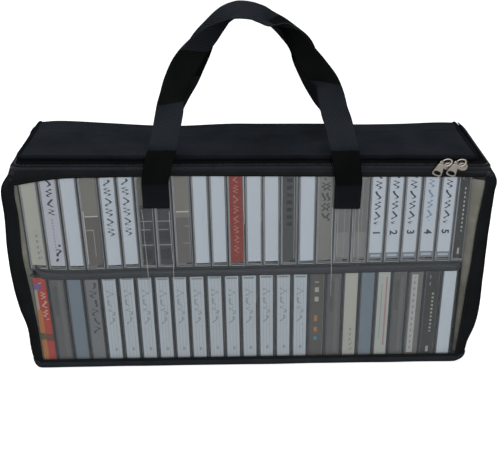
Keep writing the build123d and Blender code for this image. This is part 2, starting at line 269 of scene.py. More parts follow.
def copies(name, template, places):
    """Copies of one small shape, each moved by its own matrix, joined into one piece."""
    gathered = bmesh.new()
    for place in places:
        before = len(gathered.verts)
        gathered.from_mesh(template.data)
        gathered.verts.ensure_lookup_table()
        bmesh.ops.transform(gathered, matrix=place, verts=gathered.verts[before:])
    mesh = bpy.data.meshes.new(name)
    gathered.to_mesh(mesh)
    gathered.free()
    obj = bpy.data.objects.new(name, mesh)
    bpy.context.scene.collection.objects.link(obj)
    bpy.data.objects.remove(template)
    return obj


def walk(path, pitch):
    """Points at an even pitch along a list of points, each with its direction."""
    spots = []
    travelled = 0.0
    total = sum((b - a).length for a, b in zip(path, path[1:]))
    count = max(int(round(total / pitch)), 1)
    step = total / count
    target = step / 2
    for a, b in zip(path, path[1:]):
        run = (b - a).length
        while target <= travelled + run and target < total:
            spots.append((a.lerp(b, (target - travelled) / run), (b - a).normalized()))
            target += step
        travelled += run
    return spots


def frame_at(point, forward, outward):
    """Matrix with X along forward and Z along outward."""
    x = forward.normalized()
    z = (outward - x * outward.dot(x)).normalized()
    y = z.cross(x)
    turn = Matrix((x, y, z)).transposed().to_4x4()
    return Matrix.Translation(point) @ turn


def stitch_shape(length, width):
    """One stitch: a short low capsule of thread."""
    height = 0.5
    bpy.ops.mesh.primitive_uv_sphere_add(segments=8, ring_count=5, radius=0.5)
    stitch = start_piece("stitch_pattern")
    reshape((length, width, height))
    return stitch


def stitches(name, runs, pitch=3.4, length=2.5, width=0.55):
    """A row of stitches along each run: (points, outward direction)."""
    places = []
    for path, outward in runs:
        for point, forward in walk([Vector(p) for p in path], pitch):
            places.append(frame_at(point, forward, Vector(outward)))
    return copies(name, stitch_shape(length, width), places)


# ---- Finishes --------------------------------------------------------------------------------------
def new_finish(name):
    """An empty material with its output node."""
    material = bpy.data.materials.new(name)
    material.use_nodes = True
    tree = material.node_tree
    tree.nodes.clear()
    output = tree.nodes.new("ShaderNodeOutputMaterial")
    return material, tree, output


def fill(tree, socket, value):
    """Link a socket to another socket, or give it a plain value."""
    if isinstance(value, bpy.types.NodeSocket):
        tree.links.new(value, socket)
    else:
        socket.default_value = value


def add(tree, kind, sockets=None, **settings):
    """Add a node, set its options and its sockets; a socket's value may be another socket."""
    made = tree.nodes.new(kind)
    for key, value in settings.items():
        setattr(made, key, value)
    for key, value in (sockets or {}).items():
        fill(tree, made.inputs[key], value)
    return made


def mix_colour(tree, factor, first, second):
    """Mix of two colours."""
    made = add(tree, "ShaderNodeMix", data_type="RGBA")
    for index, value in ((0, factor), (6, first), (7, second)):
        fill(tree, made.inputs[index], value)
    return made.outputs[2]


def arithmetic(tree, operation, first, second=0.0, third=0.0):
    """One math node."""
    made = add(tree, "ShaderNodeMath", operation=operation)
    for index, value in enumerate((first, second, third)):
        fill(tree, made.inputs[index], value)
    return made.outputs[0]


def shade(colour, share):
    """A colour made darker or lighter."""
    return tuple(clamp(c * share) for c in colour[:3]) + (1.0,)


def grain(tree, where, scale, detail=4.0, roughness=0.6):
    """Soft random pattern."""
    return add(tree, "ShaderNodeTexNoise",
               {"Vector": where, "Scale": scale, "Detail": detail, "Roughness": roughness}).outputs["Fac"]


def threads(tree, where, pitch):
    """Plain weave: threads over and under each other, from 0 to 1."""
    bands = []
    for direction in ("X", "Y"):
        bands.append(add(tree, "ShaderNodeTexWave",
                         {"Vector": where, "Scale": 0.1592 / pitch, "Distortion": 0.4, "Detail": 1.0},
                         wave_type="BANDS", bands_direction=direction).outputs["Fac"])
    return arithmetic(tree, "MULTIPLY", bands[0], bands[1])


def relief(tree, height, strength, distance):
    """Bumps that follow a pattern; distance is their depth in metres."""
    bump = add(tree, "ShaderNodeBump", {"Strength": strength, "Distance": distance, "Height": height})
    return bump.outputs["Normal"]


def coat(tree, output, sockets):
    """Cover a material's surface with one skin."""
    skin = add(tree, "ShaderNodeBsdfPrincipled", sockets)
    tree.links.new(skin.outputs[0], output.inputs["Surface"])


def woven_cloth(name, colour, pitch=0.0007, roughness=0.72, weave_depth=0.00012, specular=0.0, mottle=0.25):
    """Cloth with threads whose gaps are painted darker as shade, faint mottling and worn, paler patches."""
    material, tree, output = new_finish(name)
    spot = add(tree, "ShaderNodeTexCoord")
    weave = threads(tree, spot.outputs["UV"], pitch)
    patches = grain(tree, spot.outputs["Object"], 26.0, 5.0)
    dust = grain(tree, spot.outputs["Object"], 420.0, 3.0)
    worn = add(tree, "ShaderNodeMapRange", {"Value": patches, "From Min": 0.35, "From Max": 0.75})
    tone = mix_colour(tree, worn.outputs["Result"], shade(colour, 1.0 - mottle), shade(colour, 1.0 + mottle))
    # painted shade: the gaps between the threads are darkened to 0.6 of the colour
    weave_shaded_gaps = mix_colour(tree, weave, shade(colour, 0.6), tone)
    mixed = mix_colour(tree, 0.7, weave_shaded_gaps, tone)
    height = arithmetic(tree, "MULTIPLY_ADD", dust, 0.35, weave)
    rough = arithmetic(tree, "MULTIPLY_ADD", patches, 0.22, roughness - 0.11)
    coat(tree, output, {"Base Color": mixed, "Roughness": rough, "Specular IOR Level": specular,
                        "Normal": relief(tree, height, 0.55, weave_depth)})
    return material


def clear_sheet(name, tint, haze_colour, haze, gloss_roughness, smudge_scale):
    """Clear plastic: see-through, with a glossy skin, faint haze, smudges and fine upright scratches."""
    material, tree, output = new_finish(name)
    spot = add(tree, "ShaderNodeTexCoord")
    smudge = grain(tree, spot.outputs["Object"], smudge_scale, 5.0, 0.55)
    clear = add(tree, "ShaderNodeBsdfTransparent", {"Color": tint})
    rough = arithmetic(tree, "MULTIPLY_ADD", smudge, 0.12, gloss_roughness - 0.05)
    skin = add(tree, "ShaderNodeBsdfPrincipled",
               {"Base Color": haze_colour, "Roughness": rough, "Specular IOR Level": 0.5, "IOR": 1.45,
                "Normal": relief(tree, smudge, 0.35, 0.0004)})
    edge = add(tree, "ShaderNodeFresnel", {"IOR": 1.28})
    amount = arithmetic(tree, "MULTIPLY_ADD", smudge, haze, edge.outputs["Fac"])
    streak = add(tree, "ShaderNodeMapping",
                 {"Vector": spot.outputs["Object"], "Scale": (260.0, 260.0, 18.0)})
    fine = grain(tree, streak.outputs["Vector"], 1.0, 2.0)
    line = add(tree, "ShaderNodeMapRange", {"Value": fine, "From Min": 0.66, "From Max": 0.8, "To Max": 0.05})
    amount = arithmetic(tree, "ADD", amount, line.outputs["Result"])
    blend = add(tree, "ShaderNodeMixShader", {"Fac": amount})
    tree.links.new(clear.outputs[0], blend.inputs[1])
    tree.links.new(skin.outputs[0], blend.inputs[2])
    tree.links.new(blend.outputs[0], output.inputs["Surface"])
    return material


def ribbed_webbing(name, shaded_valley, lit_peak):
    """Webbing whose raised threads are painted paler as highlights, with the valleys between them painted
    dark as shade; it follows the strap's own length and width.
    """
    material, tree, output = new_finish(name)
    spot = add(tree, "ShaderNodeTexCoord")
    place = add(tree, "ShaderNodeSeparateXYZ", {"Vector": spot.outputs["UV"]})
    waves = []
    for way, turns in (("X", 2 * math.pi / (rib_pitch * MM)), ("Y", 2 * math.pi * rib_rows)):
        waves.append(arithmetic(tree, "COSINE", arithmetic(tree, "MULTIPLY", place.outputs[way], turns)))
    raised = arithmetic(tree, "MULTIPLY_ADD", arithmetic(tree, "MULTIPLY", waves[0], waves[1]), 0.5, 0.5)
    patches = grain(tree, spot.outputs["Object"], 45.0, 4.0)
    dust = grain(tree, spot.outputs["Object"], 900.0, 3.0)
    # painted light and shade: lit peaks on the ribs, shaded valleys between them
    tone = mix_colour(tree, raised, (*shaded_valley, 1), (*lit_peak, 1))
    worn = mix_colour(tree, patches, shade(shaded_valley, 1.0), tone)
    mixed = mix_colour(tree, 0.72, worn, tone)
    height = arithmetic(tree, "MULTIPLY_ADD", dust, 0.4, raised)
    coat(tree, output, {"Base Color": mixed, "Roughness": 0.6, "Specular IOR Level": 0.0,
                        "Normal": relief(tree, height, 0.5, 0.0003)})
    return material


def bright_metal(name, colour, roughness):
    """Nickel plate with fine brushing and small dents."""
    material, tree, output = new_finish(name)
    spot = add(tree, "ShaderNodeTexCoord")
    brush = add(tree, "ShaderNodeMapping",
                {"Vector": spot.outputs["Object"], "Scale": (900.0, 2600.0, 900.0)})
    lines = grain(tree, brush.outputs["Vector"], 1.0, 3.0)
    dents = grain(tree, spot.outputs["Object"], 900.0, 2.0)
    rough = arithmetic(tree, "MULTIPLY_ADD", lines, 0.22, roughness - 0.1)
    tone = mix_colour(tree, dents, shade(colour, 0.8), shade(colour, 1.1))
    coat(tree, output, {"Base Color": tone, "Metallic": 1.0, "Roughness": rough,
                        "Normal": relief(tree, dents, 0.3, 0.0001)})
    return material


def moulded(name, colour, roughness=0.45, scale=700.0, specular=0.5):
    """Moulded plastic, thread or board with a faint grain."""
    material, tree, output = new_finish(name)
    spot = add(tree, "ShaderNodeTexCoord")
    fine = grain(tree, spot.outputs["Object"], scale, 3.0)
    broad = grain(tree, spot.outputs["Object"], 40.0, 4.0)
    tone = mix_colour(tree, broad, shade(colour, 0.82), shade(colour, 1.12))
    rough = arithmetic(tree, "MULTIPLY_ADD", broad, 0.15, roughness - 0.07)
    coat(tree, output, {"Base Color": tone, "Roughness": rough, "Specular IOR Level": specular,
                        "Normal": relief(tree, fine, 0.4, 0.00008)})
    return material


def inside_band(tree, value, low, high):
    """1 where a value lies between two limits, and 0 elsewhere."""
    return arithmetic(tree, "MULTIPLY", arithmetic(tree, "GREATER_THAN", value, low),
                      arithmetic(tree, "LESS_THAN", value, high))


def pen_line(tree, across, up, left, right, waves):
    """1 on a broken pen line that waves between two edges, and 0 beside it."""
    half_stroke = 0.085
    breaks, drawn_share = 9.3, 0.78
    sway = arithmetic(tree, "SINE", arithmetic(tree, "MULTIPLY", up, 31.0))
    turns = arithmetic(tree, "MULTIPLY", up, 2 * math.pi * waves)
    swing = arithmetic(tree, "MULTIPLY_ADD", sway, 1.9, turns)
    middle = arithmetic(tree, "MULTIPLY_ADD", arithmetic(tree, "SINE", swing),
                        (right - left) / 2, (left + right) / 2)
    apart = arithmetic(tree, "ABSOLUTE", arithmetic(tree, "SUBTRACT", across, middle))
    part = arithmetic(tree, "FRACT", arithmetic(tree, "MULTIPLY", up, breaks))
    return arithmetic(tree, "MULTIPLY", arithmetic(tree, "LESS_THAN", apart, half_stroke),
                      arithmetic(tree, "LESS_THAN", part, drawn_share))


def card_finish(name, colour, marks=()):
    """Card paper. Marks are plain bars: (colour, across from, across to, up from, up to, repeats).

    Repeats below nought stand for a waving pen line with that many waves.
    """
    material, tree, output = new_finish(name)
    spot = add(tree, "ShaderNodeTexCoord")
    fibre = grain(tree, spot.outputs["Object"], 900.0, 4.0)
    cloud = grain(tree, spot.outputs["Object"], 60.0, 3.0)
    tone = mix_colour(tree, cloud, shade(colour, 0.93), shade(colour, 1.05))
    place = add(tree, "ShaderNodeSeparateXYZ", {"Vector": spot.outputs["UV"]})
    across, up = place.outputs["X"], place.outputs["Y"]
    for ink, left, right, low, high, repeats in marks:
        inside = inside_band(tree, up, low, high)
        if repeats < 0:
            drawn = pen_line(tree, across, up, left, right, -repeats)
        else:
            drawn = inside_band(tree, across, left, right)
        if repeats > 1:
            share = arithmetic(tree, "FRACT", arithmetic(tree, "MULTIPLY", up, float(repeats)))
            inside = arithmetic(tree, "MULTIPLY", inside, arithmetic(tree, "LESS_THAN", share, 0.5))
        tone = mix_colour(tree, arithmetic(tree, "MULTIPLY", inside, drawn), tone, ink)
    coat(tree, output, {"Base Color": tone, "Roughness": 0.7, "Specular IOR Level": 0.3,
                        "Normal": relief(tree, fibre, 0.25, 0.00005)})
    return material


bag_cloth = woven_cloth("bag_cloth", (0.0125, 0.0148, 0.0182))
# side_cloth is painted a little darker than the lid's bag_cloth, as shade on the less lit sides
side_cloth = woven_cloth("side_cloth", (0.0115, 0.0125, 0.0135), roughness=0.75)
shadow_cloth = woven_cloth("shadow_cloth", (0.0040, 0.0046, 0.0046), pitch=0.0008, roughness=0.8)
lining = woven_cloth("lining", (0.34, 0.33, 0.28), pitch=0.0008, roughness=0.85, specular=0.1)
fold_lining = woven_cloth("fold_lining", (0.26, 0.255, 0.215), pitch=0.0011, roughness=0.85, specular=0.1,
                          mottle=0.4)
binding_cloth = woven_cloth("binding_cloth", (0.0110, 0.0120, 0.0130), pitch=0.0009)
# shaded_roll_cloth: the lid's rolled edge painted darker than the lid, as the shade under its front edge
shaded_roll_cloth = woven_cloth("shaded_roll_cloth", (0.0062, 0.0072, 0.0092))
# base_cloth is paler than the other cloths, with its gloss left off: a painted sheen of the coated base
base_cloth = woven_cloth("base_cloth", (0.0260, 0.0300, 0.0360), pitch=0.0008, roughness=0.7)
zip_cloth = woven_cloth("zip_cloth", (0.0230, 0.0240, 0.0290), pitch=0.0008, roughness=0.65)
shelf_cloth = woven_cloth("shelf_cloth", (0.036, 0.042, 0.052), roughness=0.5, specular=0.2)
# strap_plain_shaded: smooth webbing whose dark colour is painted shade on the strap's sleeves and down-turned
# shoulders
strap_plain_shaded = woven_cloth("strap_plain_shaded", (0.0065, 0.0072, 0.0070), roughness=0.6, weave_depth=0.0002)

rib_pitch = 2.7                    # from one rib of the webbing to the next
rib_rows = 20                      # threads across the webbing
strap_cloth = ribbed_webbing("strap_cloth", (0.0030, 0.0035, 0.0040), (0.025, 0.029, 0.036))
# strap_foot_shaded: the sewn ends' webbing, painted darker as shade, with fainter ribs
strap_foot_shaded = ribbed_webbing("strap_foot_shaded", (0.0045, 0.0048, 0.0058), (0.0140, 0.0150, 0.0190))

thread = moulded("black_thread", (0.018, 0.019, 0.021), roughness=0.5, scale=2500.0, specular=0.0)
pale_thread = moulded("pale_thread", (0.115, 0.122, 0.135), roughness=0.6, scale=2500.0, specular=0.0)
coil_plastic = moulded("coil_plastic", (0.020, 0.021, 0.026), roughness=0.28, scale=1800.0, specular=0.12)
nickel = bright_metal("nickel_plate", (0.17, 0.155, 0.14), 0.30)
board_black = moulded("board_black", (0.02, 0.02, 0.022), roughness=0.6)
board_grey = moulded("board_grey", (0.18, 0.17, 0.15), roughness=0.8)

vinyl_tint = (0.995, 0.995, 0.995, 1)
# crease_shine: pale haze painted as the highlight along the vinyl's creases
crease_shine = clear_sheet("crease_shine", vinyl_tint, (0.62, 0.64, 0.65, 1), 0.75, 0.12, 22.0)
window_vinyl = clear_sheet("window_vinyl", vinyl_tint, (0.42, 0.43, 0.43, 1), 0.018, 0.12, 22.0)
case_plastic = clear_sheet("case_plastic", (0.985, 0.99, 0.992, 1), (0.34, 0.37, 0.39, 1), 0.028, 0.16, 60.0)
smoke_plastic = clear_sheet("smoke_plastic", (0.60, 0.64, 0.68, 1), (0.05, 0.06, 0.075, 1), 0.10, 0.16, 60.0)
# case_glint and lower_glint are painted highlights; case_shade, and lower_edge_and_shade in the lower
# recesses, are painted shade
case_edge = moulded("case_edge", (0.215, 0.230, 0.250), roughness=0.4, scale=140.0, specular=0.3)
case_shade = moulded("case_shade", (0.090, 0.096, 0.105), roughness=0.4, scale=140.0, specular=0.3)
case_glint = moulded("case_glint", (0.50, 0.52, 0.55), roughness=0.3, scale=300.0)
lower_edge_and_shade = moulded("lower_edge_and_shade", (0.024, 0.031, 0.041), roughness=0.4, scale=140.0, specular=0.3)
lower_glint = moulded("lower_glint", (0.115, 0.130, 0.148), roughness=0.35, scale=300.0, specular=0.4)


# ---- Camera, floor and light ---------------------------------------------------------------------
def add_camera():
    """Camera in front of the bag, looking slightly down and rolled a little."""
    place = (0.00255, -0.771, 0.522)
    pitch = math.radians(27.25)
    roll = math.radians(-0.91)
    data = bpy.data.cameras.new("view_camera")
    data.sensor_fit = "HORIZONTAL"
    data.sensor_width = 36.0
    data.lens = 60.17
    data.clip_start = 0.02
    data.clip_end = 20.0
    camera = bpy.data.objects.new("view_camera", data)
    bpy.context.scene.collection.objects.link(camera)
    ahead = Vector((0.0, math.cos(pitch), -math.sin(pitch)))
    right = Vector((1.0, 0.0, 0.0))
    up = right.cross(ahead)
    across = right * math.cos(roll) + up * math.sin(roll)
    upright = up * math.cos(roll) - right * math.sin(roll)
    turn = Matrix((across, upright, -ahead)).transposed().to_4x4()
    camera.matrix_world = Matrix.Translation(place) @ turn
    bpy.context.scene.camera = camera


def seen_directly(tree):
    """1 where the eye, a gloss or a clear sheet looks straight at a surface."""
    rays = add(tree, "ShaderNodeLightPath")
    seen = arithmetic(tree, "MAXIMUM", rays.outputs["Is Camera Ray"], rays.outputs["Is Glossy Ray"])
    return arithmetic(tree, "MAXIMUM", seen, rays.outputs["Is Transmission Ray"])


def add_floor():
    """Plain floor: white where it is seen, and dull as a source of light, so that shadows stay."""
    bpy.ops.mesh.primitive_plane_add(size=6.0, location=(0, 0, -0.0004))
    floor = start_piece("floor")
    bpy.ops.object.transform_apply(location=True, rotation=True, scale=True)
    material, tree, output = new_finish("pale_floor")
    spot = add(tree, "ShaderNodeTexCoord")
    speck = grain(tree, spot.outputs["Object"], 8.0)
    tone = mix_colour(tree, speck, (0.50, 0.50, 0.50, 1), (0.52, 0.52, 0.52, 1))
    matte = add(tree, "ShaderNodeBsdfPrincipled",
                {"Base Color": tone, "Roughness": 0.9, "Specular IOR Level": 0.1})
    dull = add(tree, "ShaderNodeBsdfDiffuse", {"Color": (0.15, 0.15, 0.15, 1)})
    glow = add(tree, "ShaderNodeEmission", {"Color": (1, 1, 1, 1), "Strength": 0.80})
    both = add(tree, "ShaderNodeAddShader")
    tree.links.new(matte.outputs[0], both.inputs[0])
    tree.links.new(glow.outputs[0], both.inputs[1])
    blend = add(tree, "ShaderNodeMixShader", {"Fac": seen_directly(tree)})
    tree.links.new(dull.outputs[0], blend.inputs[1])
    tree.links.new(both.outputs[0], blend.inputs[2])
    tree.links.new(blend.outputs[0], output.inputs["Surface"])
    floor.data.materials.append(material)


def add_light():
    """Soft studio light: an even surround, a large lamp overhead and a weak one in front."""
    bpy.context.scene.view_settings.view_transform = "Standard"
    world = bpy.data.worlds.new("studio")
    bpy.context.scene.world = world
    world.use_nodes = True
    tree = world.node_tree
    tree.nodes.clear()
    output = tree.nodes.new("ShaderNodeOutputWorld")
    colour = mix_colour(tree, seen_directly(tree), (0.24, 0.245, 0.25, 1), (1, 1, 1, 1))
    ground = add(tree, "ShaderNodeBackground", {"Color": colour, "Strength": 1.0})
    tree.links.new(ground.outputs[0], output.inputs["Surface"])
    lamps = (
        ("overhead_lamp", (-0.30, -0.20, 1.9), (0.0, 0.0, 0.15), 1.5, 36.0),
        ("front_lamp", (0.3, -2.3, 1.1), (0.0, 0.0, 0.12), 1.2, 40.0),
    )
    for name, spot, target, size, power in lamps:
        data = bpy.data.lights.new(name, "AREA")
        data.shape = "SQUARE"
        data.size = size
        data.energy = power
        data.color = (1.0, 0.995, 0.985)
        lamp = bpy.data.objects.new(name, data)
        lamp.location = spot
        aim = Vector(target) - Vector(spot)
        lamp.rotation_euler = aim.to_track_quat("-Z", "Y").to_euler()
        bpy.context.scene.collection.objects.link(lamp)


# ---- The bag's form ------------------------------------------------------------------------------
# Each list: (height, distance from the bag's middle).
left_side = [(0, 224.4), (5.3, 225.4), (19.3, 227.9), (49.2, 228.5), (71.3, 232.7), (95.3, 235.3),
             (123.2, 236.5), (151.1, 235.7), (177.0, 233.6), (202.0, 232.8), (209.9, 230.4), (219.5, 223.8),
             (226.5, 220.2), (231.8, 213.4)]
right_side = [(0, 219.5), (6.8, 225.8), (24.8, 229.3), (41.7, 234.0), (58.7, 236.6), (87.8, 236.5),
              (119.9, 236.4), (151.0, 236.6), (173.0, 236.9), (195.1, 237.2), (204.1, 238.1), (211.2, 235.6),
              (226.5, 223.6), (231.8, 216.8)]
window_left = [(0, 216.2), (18, 216.3), (43, 216.2), (67, 217.0), (91, 218.0), (114, 219.6), (136, 220.8),
               (158, 219.7), (180, 218.6), (201, 219.4), (212, 218.4), (231.8, 218.0)]
window_right = [(0, 216.2), (22, 217.0), (47, 218.4), (71, 219.4), (95, 220.4), (118, 221.8), (140, 222.4),
                (162, 222.9), (183, 224.6), (203, 226.2), (214.8, 226.0), (231.8, 225.0)]
lean_to_right = -0.0205            # the soft top stands this much lower per millimetre to the right


def window_half(z, side):
    """How far the window's edge stands from the middle."""
    return along(z, window_left if side < 0 else window_right)


def tilt(x):
    """How the soft top rises towards the left end."""
    end = 232.0
    return lean_to_right * clamp(x, -end, end)


def half_width_at(z, side):
    """How far the bag's side stands from the middle."""
    return along(z, left_side if side < 0 else right_side)


def half_depth_at(z):
    """How far the front stands from the middle."""
    if z > window_top:
        return bag_half_depth - lid_depth_inset * (z - window_top) / zip_band
    return bag_half_depth - foot_depth_inset * (1 - clamp(z / foot_height))


# Shares of a side cloth's width where it meets the front bend, the flat side, the rear bend and the back.
wrap_shares = (0.10, 0.19, 0.81, 0.90)


def corner_walk(share, edge_x, half_w, half_d, radius):
    """Point and outward direction on a side that wraps round two corners, from front to back."""
    a, b, c, d = wrap_shares
    if share < a:
        t = share / a
        return edge_x + (half_w - radius - edge_x) * t, -half_d, (0.0, -1.0)
    if share < b:
        t = (share - a) / (b - a) * math.pi / 2
        return (half_w - radius + radius * math.sin(t), -half_d + radius - radius * math.cos(t),
                (math.sin(t), -math.cos(t)))
    if share < c:
        t = (share - b) / (c - b)
        return half_w, (-half_d + radius) * (1 - 2 * t), (1.0, 0.0)
    if share < d:
        t = (share - c) / (d - c) * math.pi / 2
        return (half_w - radius + radius * math.cos(t), half_d - radius + radius * math.sin(t),
                (math.cos(t), math.sin(t)))
    t = (share - d) / (1 - d)
    return half_w - radius + (edge_x - half_w + radius) * t, half_d, (0.0, 1.0)


def band_walk(share, left_w, right_w, half_d, rear_y, radius):
    """Point and outward direction on a band from the left rear round the front to the right rear."""
    side = rear_y + half_d - radius
    bend = math.pi / 2 * radius
    front = left_w + right_w - 2 * radius
    total = 2 * side + 2 * bend + front
    run = share * total
    if run <= side:
        return -left_w, rear_y - run, (-1.0, 0.0)
    run -= side
    if run <= bend:
        t = run / radius
        return (-left_w + radius - radius * math.cos(t), -half_d + radius - radius * math.sin(t),
                (-math.cos(t), -math.sin(t)))
    run -= bend
    if run <= front:
        return -left_w + radius + run, -half_d, (0.0, -1.0)
    run -= front
    if run <= bend:
        t = run / radius
        return (right_w - radius + radius * math.sin(t), -half_d + radius - radius * math.cos(t),
                (math.sin(t), -math.cos(t)))
    run -= bend
    return right_w, -half_d + radius + min(run, side), (1.0, 0.0)


def band_point(share, z, lift, rear_y=44.0, radius=corner_radius, sway=0.0):
    """A point on the zip band at a height, lifted off its face."""
    half_d = half_depth_at(z)
    x, y, out = band_walk(share, half_width_at(z, -1), half_width_at(z, 1), half_d, rear_y, radius)
    lift += sway * wander(x, y, 0.0, 30.0)
    side_lean, front_lean = 0.35, 0.09
    lean = side_lean if abs(out[0]) > 0.5 else front_lean
    return Vector((x + out[0] * lift, y + out[1] * lift, z + lean * lift * 0.5))


def make_side_cloth(side):
    """Side of the bag: one soft panel, wrapped round to the window's edges."""
    name = "side_cloth_left" if side < 0 else "side_cloth_right"
    node = "side_panel_left" if side < 0 else "side_panel_right"
    end_tilt = max(0.0, tilt(side * 225.0))
    window_room = 1.8               # least cloth between the window's edge and the corner's bend

    def creases(y, z):
        upper = math.exp(-((z - 203 - 0.12 * y) / 3.5) ** 2)
        lower = math.exp(-((z - 34 + 0.2 * y) / 4.0) ** 2)
        return upper + 0.8 * lower

    def place(u, v):
        z = window_foot + (window_top + 2.0 + end_tilt - window_foot) * v
        half_w = half_width_at(z, side)
        start = min(window_half(z, side), half_w - corner_radius - window_room)
        x, y, out = corner_walk(u, start, half_w, half_depth_at(z), corner_radius + 1.5)
        flat = math.sin(math.pi * clamp((u - 0.19) / 0.62)) ** 0.7
        tall = math.sin(math.pi * clamp((z - 12) / 204.0)) ** 0.8
        soft = 1.3 * wander(y, z, 3.0 * side, 42.0) + 0.7 * wander(y, z, 9.0 * side, 17.0)
        swell = 2.4 * flat * tall + soft * (0.35 + 0.65 * flat)
        swell -= 1.1 * creases(y, z) * flat
        if u < 0.08 or u > 0.92:
            swell *= 0.2
        swell *= ease((window_top + end_tilt - 2.0 - z) / 18.0)
        wrap = 0.5 if u < 0.1 or u > 0.9 else 0.0
        lift = swell + wrap
        return (side * (x + out[0] * lift), y + out[1] * lift, z)

    obj = sheet(name, 96, 90, mirrored(place, side < 0), thickness=1.3, lined=True)
    return settle(obj, "bag", "black_cloth", side_cloth, lining, replaces=(node,))


def make_row_end_lining():
    """Loose fold of lining between each window's edge and the last case, at both ends."""
    pieces = []
    for side in (-1, 1):
        for face in (-1, 1):
            def place(u, v):
                z = 13.0 + (199.0 + tilt(side * 218.0)) * v
                inner, outer = 214.4, window_half(z, side) + 0.6
                x = inner + (outer - inner) * u
                y = 44.6 + 6.2 * u ** 0.7 + 0.5 * wander(z, u * 8.0, 4.0 * side + face, 15.0) * (1 - u)
                return (side * x, face * y, z)
            pieces.append(sheet("fold", 8, 80, mirrored(place, side == face), thickness=0.5))
    obj = join("row_end_lining", pieces)
    settle(obj, "bag", "black_cloth", fold_lining)


def base_outline(share, w_left, w_right, d, radius=8.0, arc=0.3):
    """Point and outward direction on the base's outline, whose corners take the arc share of a side."""
    signs = ((1, -1), (1, 1), (-1, 1), (-1, -1))
    turn = share * len(signs)
    corner = int(turn) % 4
    t = turn - int(turn)
    sx, sy = signs[corner]
    nx, ny = signs[(corner + 1) % 4]
    w, nw = (w_right if sx > 0 else w_left), (w_right if nx > 0 else w_left)
    here = Vector((sx * (w - radius), sy * (d - radius), 0))
    there = Vector((nx * (nw - radius), ny * (d - radius), 0))
    start = math.atan2(sy, sx) - math.pi / 4
    if t < arc:
        angle = start + t / arc * math.pi / 2
        point = here
    else:
        angle = start + math.pi / 2
        point = here.lerp(there, (t - arc) / (1 - arc))
    out = Vector((math.cos(angle), math.sin(angle), 0))
    return point + out * radius, out


def make_base_cloth():
    """Bottom of the bag with its turned-up edge."""
    profile = [(11.2, 0.5), (8.6, 1.0), (5.2, 0.9), (2.4, 0.1), (0.8, -1.7), (0.0, -5.0)]   # (height, lift)

    def rim(u, t):
        steps = len(profile) - 1
        index = min(int(t * steps), steps - 1)
        part = t * steps - index
        z = profile[index][0] * (1 - part) + profile[index + 1][0] * part
        lift = profile[index][1] * (1 - part) + profile[index + 1][1] * part
        spot, out = base_outline(u, half_width_at(z, -1), half_width_at(z, 1), half_depth_at(z))
        lift += 0.5 * wander(spot.x, spot.y, z, 35.0) * (1 if z > 0.5 else 0)
        spot = spot + out * lift
        return (spot.x, spot.y, z)

    def floor(u, t):
        spot, out = base_outline(u, half_width_at(0, -1), half_width_at(0, 1), half_depth_at(0))
        spot = spot - out * 5.0
        return (spot.x * (1 - t), spot.y * (1 - t), 0.0)

    def place(u, v):
        share = u if u < 1 else 0.0
        down = 1 - v
        return rim(share, down / 0.5) if down < 0.5 else floor(share, (down - 0.5) / 0.5)

    obj = sheet("base_cloth", 260, 26, place, loop=True)
    apply_modifier(obj, "SOLIDIFY", thickness=1.2, offset=-1.0, use_even_offset=False)
    return settle(obj, "bag", "black_cloth", base_cloth, replaces=("base_panel",))


# Lower edge of the binding over the front window: (x, height).
top_edge_of_window = [(-222, 209.7), (-217, 211.3), (-182, 216.9), (-136, 217.9), (-98, 218.1), (-68, 218.3),
                      (4, 217.2), (98, 214.8), (172, 213.7), (225, 212.4)]
# Where the handles' sewn ends pull the vinyl into upright creases: (x, upper end, lower end).
pull_lines = ((-99.2, 186, 92), (-73.8, 184, 108), (81.8, 186, 84), (107.2, 184, 118))


def make_window_sheet(side):
    """Clear vinyl of the front or the back, slack and faintly rippled."""
    face = "front" if side < 0 else "back"
    low, high = 10.5, 217.6
    hem = 1.5                       # vinyl under the binding

    def place(u, v):
        z = low + (high - low) * v
        left, right = window_half(z, -1) + hem, window_half(z, 1) + hem
        x = -left + (left + right) * u
        rim = min(1.0, (1 - abs(2 * u - 1)) * 18.0, v * 14.0, (1 - v) * 14.0)
        slack = 0.9 * wander(x, z, 4.0 * side, 60.0) + 0.45 * wander(x * 1.8, z * 0.35, 11.0 * side, 16.0)
        slack += 0.35 * math.sin(x / 9.0 + 1.5 * wander(x, z, 2.0, 80.0)) * math.exp(-((z - 205) / 22.0) ** 2)
        for line_x, line_top, line_foot in pull_lines:
            fade = ease((line_top - z) / 14.0) * ease((z - line_foot) / 30.0)
            slack += 0.75 * fade * math.exp(-((x - line_x) / 1.3) ** 2)
        out = bag_half_depth + 0.25 + (0.35 + slack) * rim * 0.9
        return (x, side * max(out, bag_half_depth - 0.5), z)

    obj = sheet(f"window_sheet_{face}", 240, 96, mirrored(place, side > 0), thickness=0.5)
    settle(obj, "bag", "clear_vinyl", window_vinyl, replaces=(f"window_{face}",))


def make_window_creases():
    """Hard creases in the front vinyl, pulled down from the corners of the sewn ends: thin hazy strips
    painted as the creases' highlights.
    """
    pieces = []
    for x, high, low in pull_lines:
        def place(u, v):
            z = low + 2.0 + (high - low - 3.0) * u
            shift = 1.2 * (1 - u) + 0.6 * wander(z, x, 6.0, 18.0)
            return (x + shift + 0.42 * (v - 0.5), -bag_half_depth - 1.9, z)
        pieces.append(sheet("crease", 60, 2, place, thickness=0.12))
    obj = join("window_creases", pieces)
    settle(obj, "bag", "clear_vinyl", crease_shine)


